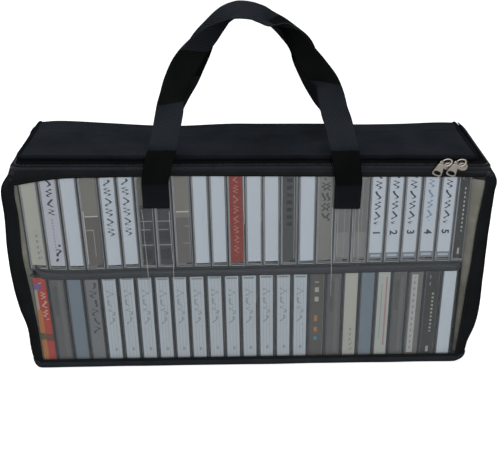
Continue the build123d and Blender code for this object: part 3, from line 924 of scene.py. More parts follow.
def make_window_binding(side):
    """Cloth tape sewn round a window: over its top, down both sides and along its foot."""
    face = "front" if side < 0 else "back"
    top_half = 223.5

    def window_top_at(x):
        return along(x if side < 0 else -x, top_edge_of_window)

    def top(u, v):
        x = -top_half + 447.5 * u
        low = window_top_at(x)
        high = 221.6 + tilt(x) - 0.4 * ease((abs(x) - 200) / 24)
        z = low + (high - low) * v
        reach = half_width_at(z, math.copysign(1, x)) - 6.5
        x *= min(1.0, reach / top_half)
        bulge = math.sin(math.pi * v) * 0.7 + 0.25 * wander(x, z, 1.0, 20.0)
        y = half_depth_at(z) + 0.75 + bulge
        return (x, side * y, z)

    def foot(u, v):
        x = -216.5 + 433.0 * u
        z = window_foot + 3.2 * v
        y = bag_half_depth + 1.0 + math.sin(math.pi * v) * 0.5 + 0.15 * wander(x, z, 2.0, 18.0)
        return (x, side * y, z)

    def upright(sign):
        def place(u, v):
            z = window_foot + 204.0 * v
            x = sign * (window_half(z, sign) + 2.2 - 3.6 * (1 - u))
            y = bag_half_depth + 0.9 + math.sin(math.pi * u) * 0.45 + 0.2 * wander(z, x, 5.0, 22.0)
            return (x, side * y, z)
        return place

    pieces = [sheet(f"binding_top_{face}", 200, 6, mirrored(top, side > 0), thickness=0.7),
              sheet(f"binding_foot_{face}", 160, 4, mirrored(foot, side > 0), thickness=0.7)]
    for sign in (-1, 1):
        place = mirrored(upright(sign), (sign < 0) != (side > 0))
        pieces.append(sheet(f"binding_side_{face}", 5, 90, place, thickness=0.7))
    obj = join(f"window_binding_{face}", pieces)
    settle(obj, "bag", "black_binding", binding_cloth, replaces=(f"window_tape_{face}",))

    out = (0, side, 0)
    spacing = 6
    upper = [(x, side * (half_depth_at(219) + 1.55), window_top_at(x) + 2.0)
             for x in range(-218, 219, spacing)]
    lower = [(x, side * (bag_half_depth + 1.65), 11.6) for x in range(-214, 215, spacing)]
    runs = [(upper, out), (lower, out)]
    for sign in (-1, 1):
        runs.append(([(sign * (window_half(z, sign) + 0.4), side * (bag_half_depth + 1.5), z)
                      for z in range(16, 206, spacing)], out))
    seam = stitches(f"window_stitches_{face}", runs)
    settle(seam, "bag", "black_binding", thread)


# ---- Lid ------------------------------------------------------------------------------------------
# Height of the lid's back edge, and how far its front edge stands above the leaning top: (x, height).
lid_back_line = [(-214, 237.3), (-191, 238.6), (-147, 235.8), (-98, 232.2), (-65, 231.2), (-16, 232.6),
                 (15, 232.1), (80, 231.0), (111, 229.7), (160, 229.5), (201, 230.4), (225, 229.3)]
lid_front_rise = [(-216, 0.3), (-190, 1.2), (-60, 1.5), (100, 1.8), (200, 2.5), (216, 1.5)]
lid_left = 210.8
lid_right = 216.0
lid_front = 49.6
lid_back = 49.6
lid_seams = (21.0, 42.0)           # the two sewn lines, back from the middle


def lid_height(x, y):
    """Height of the lid's cloth at a place."""
    back = along(x, lid_back_line)
    front = 234.0 + tilt(x) + along(x, lid_front_rise) + 0.5 * math.sin(x / 60.0)
    t = ease((y + lid_front) / (lid_front + lid_back))
    rest = front * (1 - t) + back * t
    middle = math.sin(math.pi * clamp((y + lid_front) / (lid_front + lid_back)))
    ends = math.sin(math.pi * clamp((x + lid_left) / (lid_left + lid_right))) ** 0.4
    sag = 1.5 * middle * ends
    soft = 0.9 * wander(x, y, 7.0, 70.0) + 0.4 * wander(x, y * 1.6, 3.0, 24.0)
    near, far = lid_seams
    groove = 0.45 * math.exp(-((y - far) / 1.1) ** 2) + 0.35 * math.exp(-((y - near) / 1.1) ** 2)
    fold = 0.5 * math.exp(-((y - 36.0 + 4 * wander(x, 0, 0, 60.0)) / 2.2) ** 2)
    shoulder = 1.5 * math.exp(-((y - 41.0) / 7.0) ** 2)
    return rest - sag + soft * middle ** 0.5 - groove + fold + shoulder


def make_lid_cloth():
    """Top of the bag: slack cloth with two sewn lines near the hinge, and a lip tucked down behind it."""
    lip_from = 0.94                 # share of the sheet where the lip starts

    def place(u, v):
        x = -lid_left + (lid_left + lid_right) * u
        y = -lid_front + (lid_front + lid_back) * min(v / lip_from, 1.0)
        tuck = max(0.0, v - lip_from) / 0.06
        return (x, y - 0.3 * tuck, lid_height(x, y) - 6.0 * tuck)

    obj = sheet("lid_cloth", 200, 64, place, thickness=1.2)
    settle(obj, "lid", "black_cloth", bag_cloth, replaces=("lid_panel",))
    runs = []
    for y in reversed(lid_seams):
        runs.append(([(x, y, lid_height(x, y) + 0.1) for x in range(-211, 217, 6)], (0, 0, 1)))
    seam = stitches("lid_stitches", runs, pitch=3.6, length=2.7)
    settle(seam, "lid", "black_cloth", thread)


def lid_height_near(x, y):
    """Height of the lid's cloth at the nearest place on it."""
    return lid_height(clamp(x, -lid_left, lid_right), clamp(y, -lid_front, lid_back))


def lid_edge(share, grow=0.0):
    """Point and outward direction on the lid's edge, left rear to right rear."""
    front = lid_front + 0.4 + grow
    return band_walk(share, lid_left + grow, lid_right + grow, front, lid_back, corner_radius)


def make_lid_roll():
    """Rolled edge round the lid's front and sides."""
    def place(u, v):
        x, y, out = lid_edge(u)
        z = lid_height_near(x, y) - 0.9
        angle = v * 2 * math.pi
        swell = 1.0 + 0.10 * wander(x, y, 2.0, 14.0)
        across = 2.3 * swell * math.cos(angle)
        tall = 2.1 * swell * math.sin(angle)
        return (x + out[0] * across, y + out[1] * across, z + tall)

    obj = ribbon("lid_roll", 420, 14, place)
    settle(obj, "lid", "black_cloth", shaded_roll_cloth, replaces=("lid_piping",))
    path = []
    for i in range(141):
        x, y, out = lid_edge(i / 140, -3.4)
        path.append((x, y, lid_height(x, y) + 0.12))
    seam = stitches("lid_edge_stitches", [(path, (0, 0, 1))])
    settle(seam, "lid", "black_cloth", thread)


# ---- Zip ------------------------------------------------------------------------------------------
# How the zip rises and falls along the front: (x, height).
zip_line = [(-232, 5.2), (-200, 5.0), (-100, 3.6), (0, 2.6), (100, 1.4), (170, 0.2), (205, -0.9), (232, -2.0)]


def zip_height(x, y):
    """Height of the zip's middle, which wanders a little with the cloth."""
    return zip_z + along(x, zip_line) * ease((20 - y) / 50.0)


def make_zip_tape(upper):
    """Woven tape of one half of the zip."""
    gap = 0.05                      # from the zip's middle to each tape
    foot_z = 216.6                  # lower edge of the lower tape

    def edges(x, y):
        middle = zip_height(x, y)
        if upper:
            return middle + gap, lid_height_near(x, y) - 1.0
        return foot_z + tilt(x), middle - gap

    def place(u, v):
        spot = band_point(u, zip_z, 0.0)
        bottom, top = edges(spot.x, spot.y)
        z = bottom + (top - bottom) * v
        if upper:
            tuck = 1.2 * ease((z - 229.5 - tilt(spot.x)) / 3.0)
            return band_point(u, z, 0.05 - tuck, rear_y=48.4, sway=0.15)
        return band_point(u, z, 0.05, sway=0.15)

    name, node, body, cloth = (("zip_tape_top", "zip_tape_upper", "lid", shadow_cloth) if upper
                               else ("zip_tape_foot", "zip_tape_lower", "bag", zip_cloth))
    obj = sheet(name, 420, 6, place, thickness=0.6)
    return settle(obj, body, "zip_tape", cloth, replaces=(node,))


def tooth_shape(side):
    """One turn of the zip's coil: a rounded link with its hooked head."""
    bpy.ops.mesh.primitive_cube_add(size=1.0)
    tooth = start_piece("tooth_pattern")
    reshape((0.95, 1.9, 1.1), bevel=0.28)
    for point in tooth.data.vertices:
        if point.co.y * side < -0.6:
            point.co.x *= 1.25
        point.co.z += 0.25 * clamp(abs(point.co.y) - 0.7, 0, 1)
    return tooth


def make_zip_coil(upper):
    """One half of the coil, its links all along the zip, and the stitches that hold it on its tape."""
    sign = 1 if upper else -1
    name, node, body = (("coil_top", "zip_coil_upper", "lid") if upper
                        else ("coil_foot", "zip_coil_lower", "bag"))

    def places(count, offset, lift, pitch):
        """Even places on a line that runs beside the zip's middle."""
        spots = []
        for i in range(count + 1):
            spot = band_point(i / count, zip_z, 0.0)
            spots.append(band_point(i / count, zip_height(spot.x, spot.y) + sign * offset, lift))
        return [frame_at(point, forward, Vector((forward.y, -forward.x, 0.09)).normalized())
                for point, forward in walk(spots, pitch)]

    obj = copies(name, tooth_shape(sign), places(700, 1.6, 0.95, 2.0))
    settle(obj, body, "zip_coil", coil_plastic, replaces=(node,), smooth=50)
    seam = copies(f"{name}_stitches", stitch_shape(1.6, 0.5), places(260, 4.0, 0.35, 2.2))
    settle(seam, body, "zip_tape", thread)


def make_zip_end_tabs():
    """Folded cloth tabs over the zip's rear ends."""
    pieces = []
    for side in (-1, 1):
        def place(u, v):
            y = 42.6 + 8.4 * u
            z = zip_z - 5.6 + 11.2 * v
            bulge = 0.9 * math.sin(math.pi * clamp(u * 0.9 + 0.1)) * math.sin(math.pi * v)
            return (side * (half_width_at(z, side) + 1.2 + bulge), y, z)
        pieces.append(sheet("tab", 10, 12, mirrored(place, side < 0), thickness=1.0))
    obj = join("zip_tabs", pieces)
    settle(obj, "bag", "black_cloth", bag_cloth, replaces=("zip_end_tabs",))


def rear_walk(share, z, side_run=5.0, radius=corner_radius):
    """Point and outward direction on a band round the back, from the right side to the left one."""
    w_left, w_right, d = half_width_at(z, -1), half_width_at(z, 1), half_depth_at(z)
    front = w_left + w_right - 2 * radius
    bend = math.pi / 2 * radius
    run = share * (2 * side_run + 2 * bend + front)
    if run < side_run:
        return w_right, d - radius - side_run + run, (1.0, 0.0)
    if run < side_run + bend:
        t = (run - side_run) / radius
        return (w_right - radius + radius * math.cos(t), d - radius + radius * math.sin(t),
                (math.cos(t), math.sin(t)))
    if run < side_run + bend + front:
        return w_right - radius - (run - side_run - bend), d, (0.0, 1.0)
    if run < side_run + 2 * bend + front:
        t = (run - side_run - bend - front) / radius
        return (-w_left + radius - radius * math.sin(t), d - radius + radius * math.cos(t),
                (-math.sin(t), math.cos(t)))
    return -w_left, d - radius - (run - side_run - 2 * bend - front), (-1.0, 0.0)


def make_hinge_cloth():
    """Cloth along the back, from the back window up over the lid's hinge line."""
    foot_z, top_z = 213.5, 231.6

    def place(u, v):
        z = foot_z + (top_z - foot_z) * v
        x, y, out = rear_walk(u, z)
        rise = along(clamp(x, -214, 222), lid_back_line) - lid_edge_z
        lift = 0.3 + 0.35 * wander(x, z, 6.0, 26.0) - 1.3 * ease((z - 228) / 4.0)
        return (x + out[0] * lift, y + out[1] * lift, z + rise * ease((z - 219) / 12.0))

    obj = sheet("hinge_cloth", 260, 16, place, thickness=0.9)
    settle(obj, "bag", "black_cloth", bag_cloth, replaces=("hinge_strip",))


# ---- Handles ----------------------------------------------------------------------------------------
# Straps: middle of the strap and the way to its outer edge, from the left sewn end to the right one.
front_strap = [
    ((-85.4, -53.9, 186), (-1, 0, 0)),
    ((-85.1, -53.9, 197.9), (-1, 0, 0)),
    ((-85, -54.9, 207.3), (-1, 0, 0)),
    ((-84.3, -56.8, 215.8), (-1, 0, 0)),
    ((-81, -59.8, 229.7), (-1, 0, 0)),
    ((-76.7, -62.2, 244.6), (-1, 0, 0)),
    ((-74.2, -62.2, 251.6), (-1, 0, 0)),
    ((-72.4, -57.6, 259.5), (-1, 0, 0)),
    ((-70.4, -50.6, 268.4), (-1, 0, 0)),
    ((-68.4, -45.7, 277.4), (-0.99, -0.12, 0.11)),
    ((-66, -39.9, 289.6), (-0.82, -0.44, 0.36)),
    ((-61.5, -35.4, 301.8), (-0.85, -0.35, 0.4)),
    ((-53.5, -30.2, 316.7), (-0.86, -0.27, 0.44)),
    ((-42.4, -25.4, 330.3), (-0.72, -0.51, 0.47)),
    ((-30.7, -21.8, 340.5), (-0.40, -0.62, 0.64)),
    ((-18.3, -18.3, 349.3), (-0.08, -0.84, 0.46)),
    ((-6.6, -14.8, 356.1), (0.04, -0.98, 0.08)),
    ((6, -13.2, 357.4), (0.02, -0.99, -0.1)),
    ((14.7, -13.8, 354), (-0.12, -0.99, -0.03)),
    ((23, -15.8, 349), (-0.07, -0.99, 0.13)),
    ((36.7, -17.3, 346.2), (0.3, -0.88, 0.38)),
    ((46.6, -21.4, 336.5), (0.56, -0.71, 0.43)),
    ((55.3, -25.9, 324.3), (0.66, -0.54, 0.52)),
    ((64.6, -30.2, 312), (0.77, -0.34, 0.53)),
    ((74.5, -34.1, 301.3), (0.7, -0.53, 0.47)),
    ((78.7, -38.9, 288.6), (0.91, -0.34, 0.26)),
    ((81.7, -44.9, 276), (0.95, -0.23, 0.19)),
    ((85.4, -50.6, 265.8), (1, 0, 0)),
    ((87.6, -57.6, 256.3), (1, 0, 0)),
    ((89.6, -62.2, 248.2), (1, 0, 0)),
    ((91.3, -62.2, 241.2), (1, 0, 0)),
    ((93.9, -59.8, 226.1), (1, 0, 0)),
    ((95.9, -56.8, 212.1), (1, 0, 0)),
    ((96, -54.9, 203.6), (1, 0, 0)),
    ((95.9, -53.9, 194), (1, 0, 0)),
    ((95.6, -53.9, 182.4), (1, 0, 0)),
]
back_strap = [
    ((-85, 53.9, 184), (-1, 0, 0)),
    ((-84.2, 53.9, 197.8), (-1, 0, 0)),
    ((-84.1, 54.9, 207.3), (-1, 0, 0)),
    ((-83.3, 56.8, 215.8), (-1, 0, 0)),
    ((-80.1, 59.8, 229.7), (-1, 0, 0)),
    ((-78.3, 62.6, 242.5), (-0.99, -0.05, 0.13)),
    ((-70.2, 58.6, 260.1), (-0.98, -0.02, 0.21)),
    ((-58.4, 47.8, 282.1), (-0.97, 0.06, 0.22)),
    ((-48.9, 39.4, 303.3), (-0.96, 0.05, 0.28)),
    ((-41.9, 33.3, 318.3), (-0.84, 0.43, 0.34)),
    ((-33, 27, 332.4), (-0.54, 0.74, 0.4)),
    ((-19.2, 18.5, 349), (-0.29, 0.86, 0.42)),
    ((-5.9, 14.3, 356.7), (-0.14, 0.93, 0.34)),
    ((6.5, 13, 358.2), (0, 0.98, 0.22)),
    ((17.1, 13.6, 354.7), (0.05, 0.98, 0.2)),
    ((26.6, 17.8, 346.4), (0.26, 0.95, 0.17)),
    ((37.6, 23, 336.7), (0.46, 0.87, 0.17)),
    ((47.5, 28.1, 326), (0.61, 0.77, 0.15)),
    ((55.9, 33.4, 314.4), (0.88, 0.47, 0.09)),
    ((61.6, 39.5, 299.3), (0.97, 0, 0.24)),
    ((70.7, 47.3, 278.6), (0.97, -0.01, 0.24)),
    ((81.6, 57.1, 258.1), (0.98, -0.03, 0.19)),
    ((92.6, 62.4, 241.4), (0.98, -0.04, 0.18)),
    ((95.3, 59.8, 226.2), (1, 0, 0)),
    ((96.8, 56.8, 212.1), (1, 0, 0)),
    ((97, 54.9, 203.6), (1, 0, 0)),
    ((96.8, 53.9, 194.1), (1, 0, 0)),
    ((95.6, 53.9, 182.4), (1, 0, 0)),
]


def strap_lines(route, steps):
    """Even points along a strap with its width direction at each, and the strap's length."""
    middles = [Vector(point) for point, edge in route]
    edges = [Vector(edge) for point, edge in route]
    marks = [0.0]
    for a, b in zip(middles, middles[1:]):
        marks.append(marks[-1] + (b - a).length)
    total = marks[-1]
    lines = []
    for axis in range(3):
        lines.append([(mark, point[axis]) for mark, point in zip(marks, middles)])
    for axis in range(3):
        lines.append([(mark, edge[axis]) for mark, edge in zip(marks, edges)])
    rows = [[along(total * k / steps, line) for line in lines] for k in range(steps + 1)]
    return [Vector(row[:3]) for row in rows], [Vector(row[3:]) for row in rows], total


def plain_part(x, z):
    """Where a strap is smooth and painted dark as shade: its sleeves above the sewn ends, and its folded
    shoulders.
    """
    on_left = x < 0
    lift = z - tilt(-80.0 if on_left else 90.0)
    if lift < patch_top:
        return False
    if on_left:
        return lift < 246.5 or 285.0 < z < 329.0 - 0.25 * (x + 45.0)
    return lift < 247.0 or 300.0 < z < 347.0


def make_handle(side):
    """One carrying strap of ribbed webbing, from sewn end to sewn end."""
    face = "front" if side < 0 else "back"
    steps = 1180
    path, edges, total = strap_lines(front_strap if side < 0 else back_strap, steps)
    across_points = 26
    ring = 2 * across_points

    def place(u, v):
        k = round(u * steps)
        point = path[k]
        forward = (path[min(k + 5, steps)] - path[max(k - 5, 0)]).normalized()
        width_way = (edges[k] - forward * edges[k].dot(forward)).normalized()
        normal = forward.cross(width_way)
        run = total * min(k, steps - k) / steps
        free = ease((run - 25.0) / 6.0)
        step = (v * ring) % ring
        if step < across_points:
            t, skin = step / (across_points - 1), 1
        else:
            t, skin = 1 - (step - across_points) / (across_points - 1), -1
        body = ease((1 - abs(2 * t - 1)) * 9.0)
        along_rib = math.cos(2 * math.pi * total * u / rib_pitch)
        dots = 0.5 + 0.5 * along_rib * math.cos(2 * math.pi * rib_rows * v)
        rib_height = 0.30 if plain_part(point.x, point.z) else 0.42 * dots * (0.45 + 0.55 * free)
        thick = 0.42 + 0.22 * body + body * rib_height
        spot = point + width_way * ((t - 0.5) * (strap_width - 0.2)) + normal * thick * skin
        return spot + normal * (0.4 * free * wander(run, side * 9.0, 0.0, 34.0))

    obj = ribbon(f"handle_webbing_{face}", steps, ring, place)
    weave = obj.data.uv_layers[0].data
    far = max(corner.uv.x for corner in weave)
    high = max(corner.uv.y for corner in weave)
    for corner in weave:
        corner.uv = (corner.uv.x / far * total * MM, corner.uv.y / high)
    finishes = (strap_cloth, strap_plain_shaded, strap_foot_shaded)
    for _ in finishes:
        obj.data.materials.append(None)
    # painted shade: the sewn ends, sleeves and shoulders get darker finishes than the lit ribbed webbing
    for panel in obj.data.polygons:
        x, z = panel.center.x, panel.center.z
        if z - tilt(x) < patch_top:
            panel.material_index = finishes.index(strap_foot_shaded)
        else:
            panel.material_index = finishes.index(strap_plain_shaded if plain_part(x, z) else strap_cloth)
    settle(obj, "", "black_webbing", *finishes,
           replaces=(f"handle_{face}", f"handle_patches_{face}"), smooth=50, ride=False)
    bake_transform(obj)

    runs = []
    face_y = side * 55.15
    for centre in strap_centres:
        left, right = centre - 10.6, centre + 10.6
        foot, top = 187.8 + tilt(centre), 202.5 + tilt(centre)
        for a, b in (((left, foot), (right, foot)), ((left, top), (right, top)),
                     ((left, foot), (left, top)), ((right, foot), (right, top))):
            runs.append(([(a[0], face_y, a[1]), (b[0], face_y, b[1])], (0, side, 0)))
    seam = stitches(f"strap_stitches_{face}", runs, pitch=2.6, length=2.0)
    settle(seam, "bag", "black_webbing", thread)


# ---- Divider shelf ------------------------------------------------------------------------------------
# How far the shelf and the upper row hang: (x, depth).
sag_line = [(-212, 1.6), (-195, 3.0), (-170, 3.8), (-140, 3.2), (-110, 2.5), (-60, 2.2), (0, 2.0), (60, 1.4),
            (120, 0.6), (170, 0.0)]


def row_sag(x):
    """How far the shelf and the upper row hang under their own weight."""
    return along(x, sag_line)


shelf_foot = 112.7
shelf_top = 119.3
shelf_mid = (shelf_foot + shelf_top) / 2
shelf_half_width = 213.9
shelf_half_depth = 51.0


def slice_up(cut, axis, spots):
    """Cut a mesh across at each spot along an axis, so that it can bend."""
    for spot in spots:
        bmesh.ops.bisect_plane(cut, geom=cut.verts[:] + cut.edges[:] + cut.faces[:],
                               plane_co=Vector(axis) * spot, plane_no=Vector(axis), dist=0.0001)


def make_shelf_sleeve():
    """Cloth sleeve of the shelf between the rows, with a drooping front hem and one end curled up."""
    bpy.ops.mesh.primitive_cube_add(size=1.0, location=(0, 0, shelf_mid))
    obj = start_piece("shelf_sleeve")
    reshape((2 * shelf_half_width, 2 * shelf_half_depth, shelf_top - shelf_foot))
    bpy.ops.object.transform_apply(location=True, rotation=True, scale=True)
    corner, soft_rim = 9.0, 2.6
    cut = bmesh.new()
    cut.from_mesh(obj.data)
    upright = [e for e in cut.edges if abs(e.verts[0].co.z - e.verts[1].co.z) > 1]
    bmesh.ops.bevel(cut, geom=upright, offset=corner, segments=6, profile=0.5, affect="EDGES")
    rims = [e for e in cut.edges if abs(e.verts[0].co.z - e.verts[1].co.z) < 0.01 and len(e.link_faces) == 2
            and any(abs(f.normal.z) > 0.9 for f in e.link_faces)
            and any(abs(f.normal.z) < 0.1 for f in e.link_faces)]
    bmesh.ops.bevel(cut, geom=rims, offset=soft_rim, segments=4, profile=0.5, affect="EDGES")
    slice_up(cut, (1, 0, 0), range(-207, 208, 6))
    slice_up(cut, (0, 1, 0), range(-45, 46, 9))
    for point in cut.verts:
        x, y, z = point.co
        hem = ease((-y - 40.0) / 8.0) * ease((shelf_mid + 1.0 - z) / 2.0)
        point.co.z -= 2.6 * hem + row_sag(x)
        point.co.y -= 0.5 * ease((-y - 44.0) / 5.0)
        top = ease((z - shelf_mid) / 3.0)
        rim = ease((abs(y) - 36) / 14.0)
        sway = 0.5 * wander(x, y, 5.0, 30.0) + 0.3 * wander(x, y, z, 11.0)
        point.co.z += sway * 0.5 * (1 - 0.5 * top)
        point.co.y += 0.45 * wander(x, 0, z, 16.0) * rim
        curl = ease((-x - 203.0) / 11.0) * ease((-y - 10.0) / 30.0)
        point.co.z += 6.5 * curl
        point.co.x += 1.5 * curl
    cut.to_mesh(obj.data)
    cut.free()
    settle(obj, "bag", "black_cloth", shelf_cloth, replaces=("divider_sleeve",), smooth=50)
    path = [(x, -shelf_half_depth - 0.6, shelf_mid + 0.6 - row_sag(x)) for x in range(-200, 206, 5)]
    seam = stitches("shelf_stitches", [(path, (0, -1, 0))], pitch=2.4, length=1.3, width=0.9)
    settle(seam, "bag", "black_cloth", pale_thread)


def make_shelf_board():
    """Grey board inside the sleeve, which hangs as the sleeve does."""
    half_w, half_d, half_t = 206.0, 45.0, 1.4
    board = box_piece("shelf_board", -half_w, half_w, -half_d, half_d, shelf_mid - half_t, shelf_mid + half_t)
    cut = bmesh.new()
    cut.from_mesh(board.data)
    slice_up(cut, (1, 0, 0), range(-200, 201, 10))
    for point in cut.verts:
        point.co.z -= row_sag(point.co.x)
    cut.to_mesh(board.data)
    cut.free()
    settle(board, "bag", "grey_board", board_grey, replaces=("divider_board",), smooth=0)


# ---- Cassettes --------------------------------------------------------------------------------------
white = (0.63, 0.69, 0.77)
cream = (0.50, 0.50, 0.45)
lilac = (0.58, 0.59, 0.67)
brick = (0.26, 0.034, 0.026)
ruled_grey = (0.56, 0.62, 0.68)
slate = (0.19, 0.24, 0.29)
ash = (0.20, 0.21, 0.22)
charcoal = (0.030, 0.033, 0.034)
pen = (0.035, 0.045, 0.075, 1)
blue_pen = (0.22, 0.34, 0.50, 1)
ink = (0.05, 0.06, 0.08, 1)
faint_ink = (0.26, 0.30, 0.34, 1)
ink_wash = (0.33, 0.38, 0.41, 1)
red_ink = (0.42, 0.04, 0.04, 1)
green_ink = (0.10, 0.26, 0.16, 1)
pale_line = (0.55, 0.54, 0.50, 1)
tan_line = (0.30, 0.29, 0.27, 1)
tan_fill = (0.215, 0.205, 0.185, 1)
smoke_line = (0.24, 0.25, 0.25, 1)
smoke_dark = (0.018, 0.020, 0.022, 1)
grey_line = (0.30, 0.30, 0.30, 1)
print_grey = (0.42, 0.42, 0.40, 1)
foot_band = (
    ((0.22, 0.26, 0.31, 1), 0.0, 1.0, 0.0, 0.065, 1),
    ((0.5, 0.55, 0.6, 1), 0.1, 0.9, 0.022, 0.045, 1))

card_finishes = {
    "white": card_finish("card_white", white),
    "white_text": card_finish("card_white_lined", white, (
        (pen, 0.28, 0.66, 0.30, 0.92, -19),)),
    "cream": card_finish("card_cream", cream, (
        (faint_ink, 0.52, 0.66, 0.07, 0.38, 16), (faint_ink, 0.74, 0.80, 0.05, 0.22, 14))),
    "lilac": card_finish("card_lilac", lilac, (
        (pen, 0.38, 0.66, 0.56, 0.98, -17), (faint_ink, 0.46, 0.54, 0.12, 0.52, 30),
        (pen, 0.46, 0.80, 0.05, 0.24, -9))),
    "red": card_finish("card_brick", brick, (
        ((0.44, 0.15, 0.11, 1), 0.36, 0.62, 0.08, 0.92, -22),
        ((0.10, 0.095, 0.09, 1), 0.0, 1.0, 0.945, 1.0, 1))),
    "banded": card_finish("card_banded", white, (*foot_band, (pen, 0.30, 0.64, 0.38, 0.96, -15))),
    "banded_pale": card_finish("card_banded_pale", white, (
        *foot_band, (blue_pen, 0.32, 0.60, 0.40, 0.97, -15))),
    "smoke_text": card_finish("card_smoke", (0.060, 0.064, 0.068), (
        (smoke_dark, 0.30, 0.72, 0.36, 0.95, 13), (smoke_line, 0.84, 0.90, 0.02, 0.98, 1))),
    "grey_text": card_finish("card_ash", (0.235, 0.235, 0.215), (
        (ink, 0.24, 0.46, 0.46, 0.88, -15), (ink, 0.60, 0.78, 0.42, 0.84, -18))),
    "clear_tan": card_finish("clear_tan", (0.135, 0.125, 0.120), (
        (tan_fill, 0.0, 1.0, 0.54, 1.0, 1), (pale_line, 0.10, 0.96, 0.534, 0.546, 1),
        (tan_line, 0.1, 0.62, 0.385, 0.400, 1), (pale_line, 0.0, 0.05, 0.02, 0.60, 1),
        (tan_line, 0.55, 0.60, 0.10, 0.38, 1), ((0.28, 0.26, 0.24, 1), 0.2, 0.9, 0.965, 0.98, 1))),
    "clear_tan_plain": card_finish("clear_tan_plain", (0.145, 0.135, 0.130), (
        (tan_fill, 0.0, 1.0, 0.50, 1.0, 1), (pale_line, 0.05, 0.98, 0.555, 0.570, 1),
        (smoke_line, 0.60, 0.96, 0.400, 0.412, 1), (smoke_line, 0.45, 0.96, 0.215, 0.226, 1),
        (smoke_line, 0.92, 0.96, 0.02, 0.98, 1))),
    "clear_smoke": card_finish("clear_smoke", (0.036, 0.041, 0.043), (
        (smoke_dark, 0.16, 0.86, 0.05, 0.19, 3), (smoke_dark, 0.16, 0.86, 0.24, 0.36, 4),
        (smoke_dark, 0.20, 0.90, 0.50, 0.62, 5), (smoke_line, 0.0, 1.0, 0.465, 0.475, 1),
        (smoke_line, 0.1, 0.8, 0.375, 0.385, 1), (smoke_line, 0.05, 0.95, 0.205, 0.217, 1),
        ((0.12, 0.12, 0.105, 1), 0.1, 0.9, 0.64, 0.98, 1), (smoke_line, 0.03, 0.07, 0.0, 1.0, 1))),
    "clear_grey": card_finish("clear_grey", (0.185, 0.185, 0.180), (
        ((0.24, 0.24, 0.24, 1), 0.04, 0.96, 0.02, 0.30, 1), (pale_line, 0.10, 0.12, 0.05, 0.95, 1),
        (grey_line, 0.62, 0.66, 0.02, 0.90, 1), (grey_line, 0.1, 0.9, 0.86, 0.87, 1))),
    "clear_slab": card_finish("clear_slab", (0.115, 0.118, 0.122), (
        ((0.15, 0.15, 0.15, 1), 0.55, 0.85, 0.05, 0.95, 1),
        ((0.09, 0.09, 0.09, 1), 0.1, 0.45, 0.55, 0.90, 1))),
    "ruled": card_finish("card_ruled", ruled_grey, (
        *((faint_ink, middle - 0.01, middle + 0.01, 0.03, 0.95, 1) for middle in (0.25, 0.50, 0.75)),
        ((0.24, 0.28, 0.30, 1), 0.08, 0.92, 0.955, 0.975, 1),
        (ink_wash, 0.28, 0.72, 0.40, 0.86, -8), (ink_wash, 0.46, 0.66, 0.10, 0.14, 1))),
    "slate": card_finish("card_slate", slate),
    "grey": card_finish("card_grey", ash, (
        (ink, 0.34, 0.74, 0.30, 0.93, -9),)),
    "dark": card_finish("card_dark", charcoal, (
        (print_grey, 0.52, 0.68, 0.28, 0.76, 22), ((0.30, 0.30, 0.28, 1), 0.24, 0.32, 0.82, 0.97, 12),
        (print_grey, 0.40, 0.62, 0.03, 0.11, 5))),
    "dark_marked": card_finish("card_dark_marked", (0.10, 0.095, 0.085), (
        ((0.45, 0.44, 0.42, 1), 0.30, 0.62, 0.62, 0.90, 9),
        ((0.42, 0.20, 0.07, 1), 0.28, 0.55, 0.30, 0.50, 7),
        ((0.06, 0.28, 0.36, 1), 0.28, 0.55, 0.10, 0.24, 5))),
    "sunset": card_finish("card_sunset", (0.47, 0.045, 0.030), (
        ((0.52, 0.19, 0.045, 1), 0.0, 0.40, 0.0, 0.62, 1), ((0.09, 0.075, 0.03, 1), 0.0, 0.40, 0.26, 0.34, 1),
        ((0.16, 0.035, 0.025, 1), 0.40, 1.0, 0.24, 0.33, 1),
        ((0.42, 0.36, 0.28, 1), 0.0, 0.24, 0.62, 0.92, 1),
        ((0.20, 0.10, 0.30, 1), 0.0, 0.62, 0.86, 0.93, 1),
        ((0.62, 0.50, 0.46, 1), 0.10, 0.80, 0.93, 0.97, -12),
        ((0.62, 0.40, 0.34, 1), 0.52, 0.78, 0.50, 0.86, -20))),
    "red_green": card_finish("card_two_lines", (0.50, 0.52, 0.50), (
        (red_ink, 0.66, 0.80, 0.12, 0.94, 40), (green_ink, 0.30, 0.38, 0.20, 0.86, 46))),
    "pale_dark": card_finish("card_half_lined", (0.17, 0.17, 0.165), (
        ((0.50, 0.50, 0.49, 1), 0.12, 0.62, 0.03, 0.97, 1), (faint_ink, 0.3, 0.44, 0.06, 0.94, 14))),
}
upper_cards = [
    "cream", "lilac", "white", "clear_tan", "white_text", "white_text", "clear_smoke", "clear_smoke",
    "clear_tan_plain", "white", "white", "red", "white", "white", "smoke_text", "white", "grey_text",
    "clear_grey", "clear_grey", "banded", "banded", "banded", "banded_pale", "banded", "dark"]
lower_cards = ["sunset", "clear_slab", "slate", "grey"] + ["ruled"] * 12 + [
    "dark_marked", "clear_slab", "cream", "slate", "red_green", "clear_slab", "pale_dark", "dark", "white"]
tape_finishes = (
    moulded("tape_shell_smoke", (0.055, 0.056, 0.058), roughness=0.35),
    moulded("tape_shell_tan", (0.21, 0.19, 0.165), roughness=0.4),
    moulded("tape_shell_grey", (0.16, 0.165, 0.165), roughness=0.4),
)
# Which cases hold a shell other than the first kind: {place in the row: kind of shell}.
upper_shells = {3: 1, 8: 1, 17: 2, 18: 2}
lower_shells = {1: 2, 21: 2}


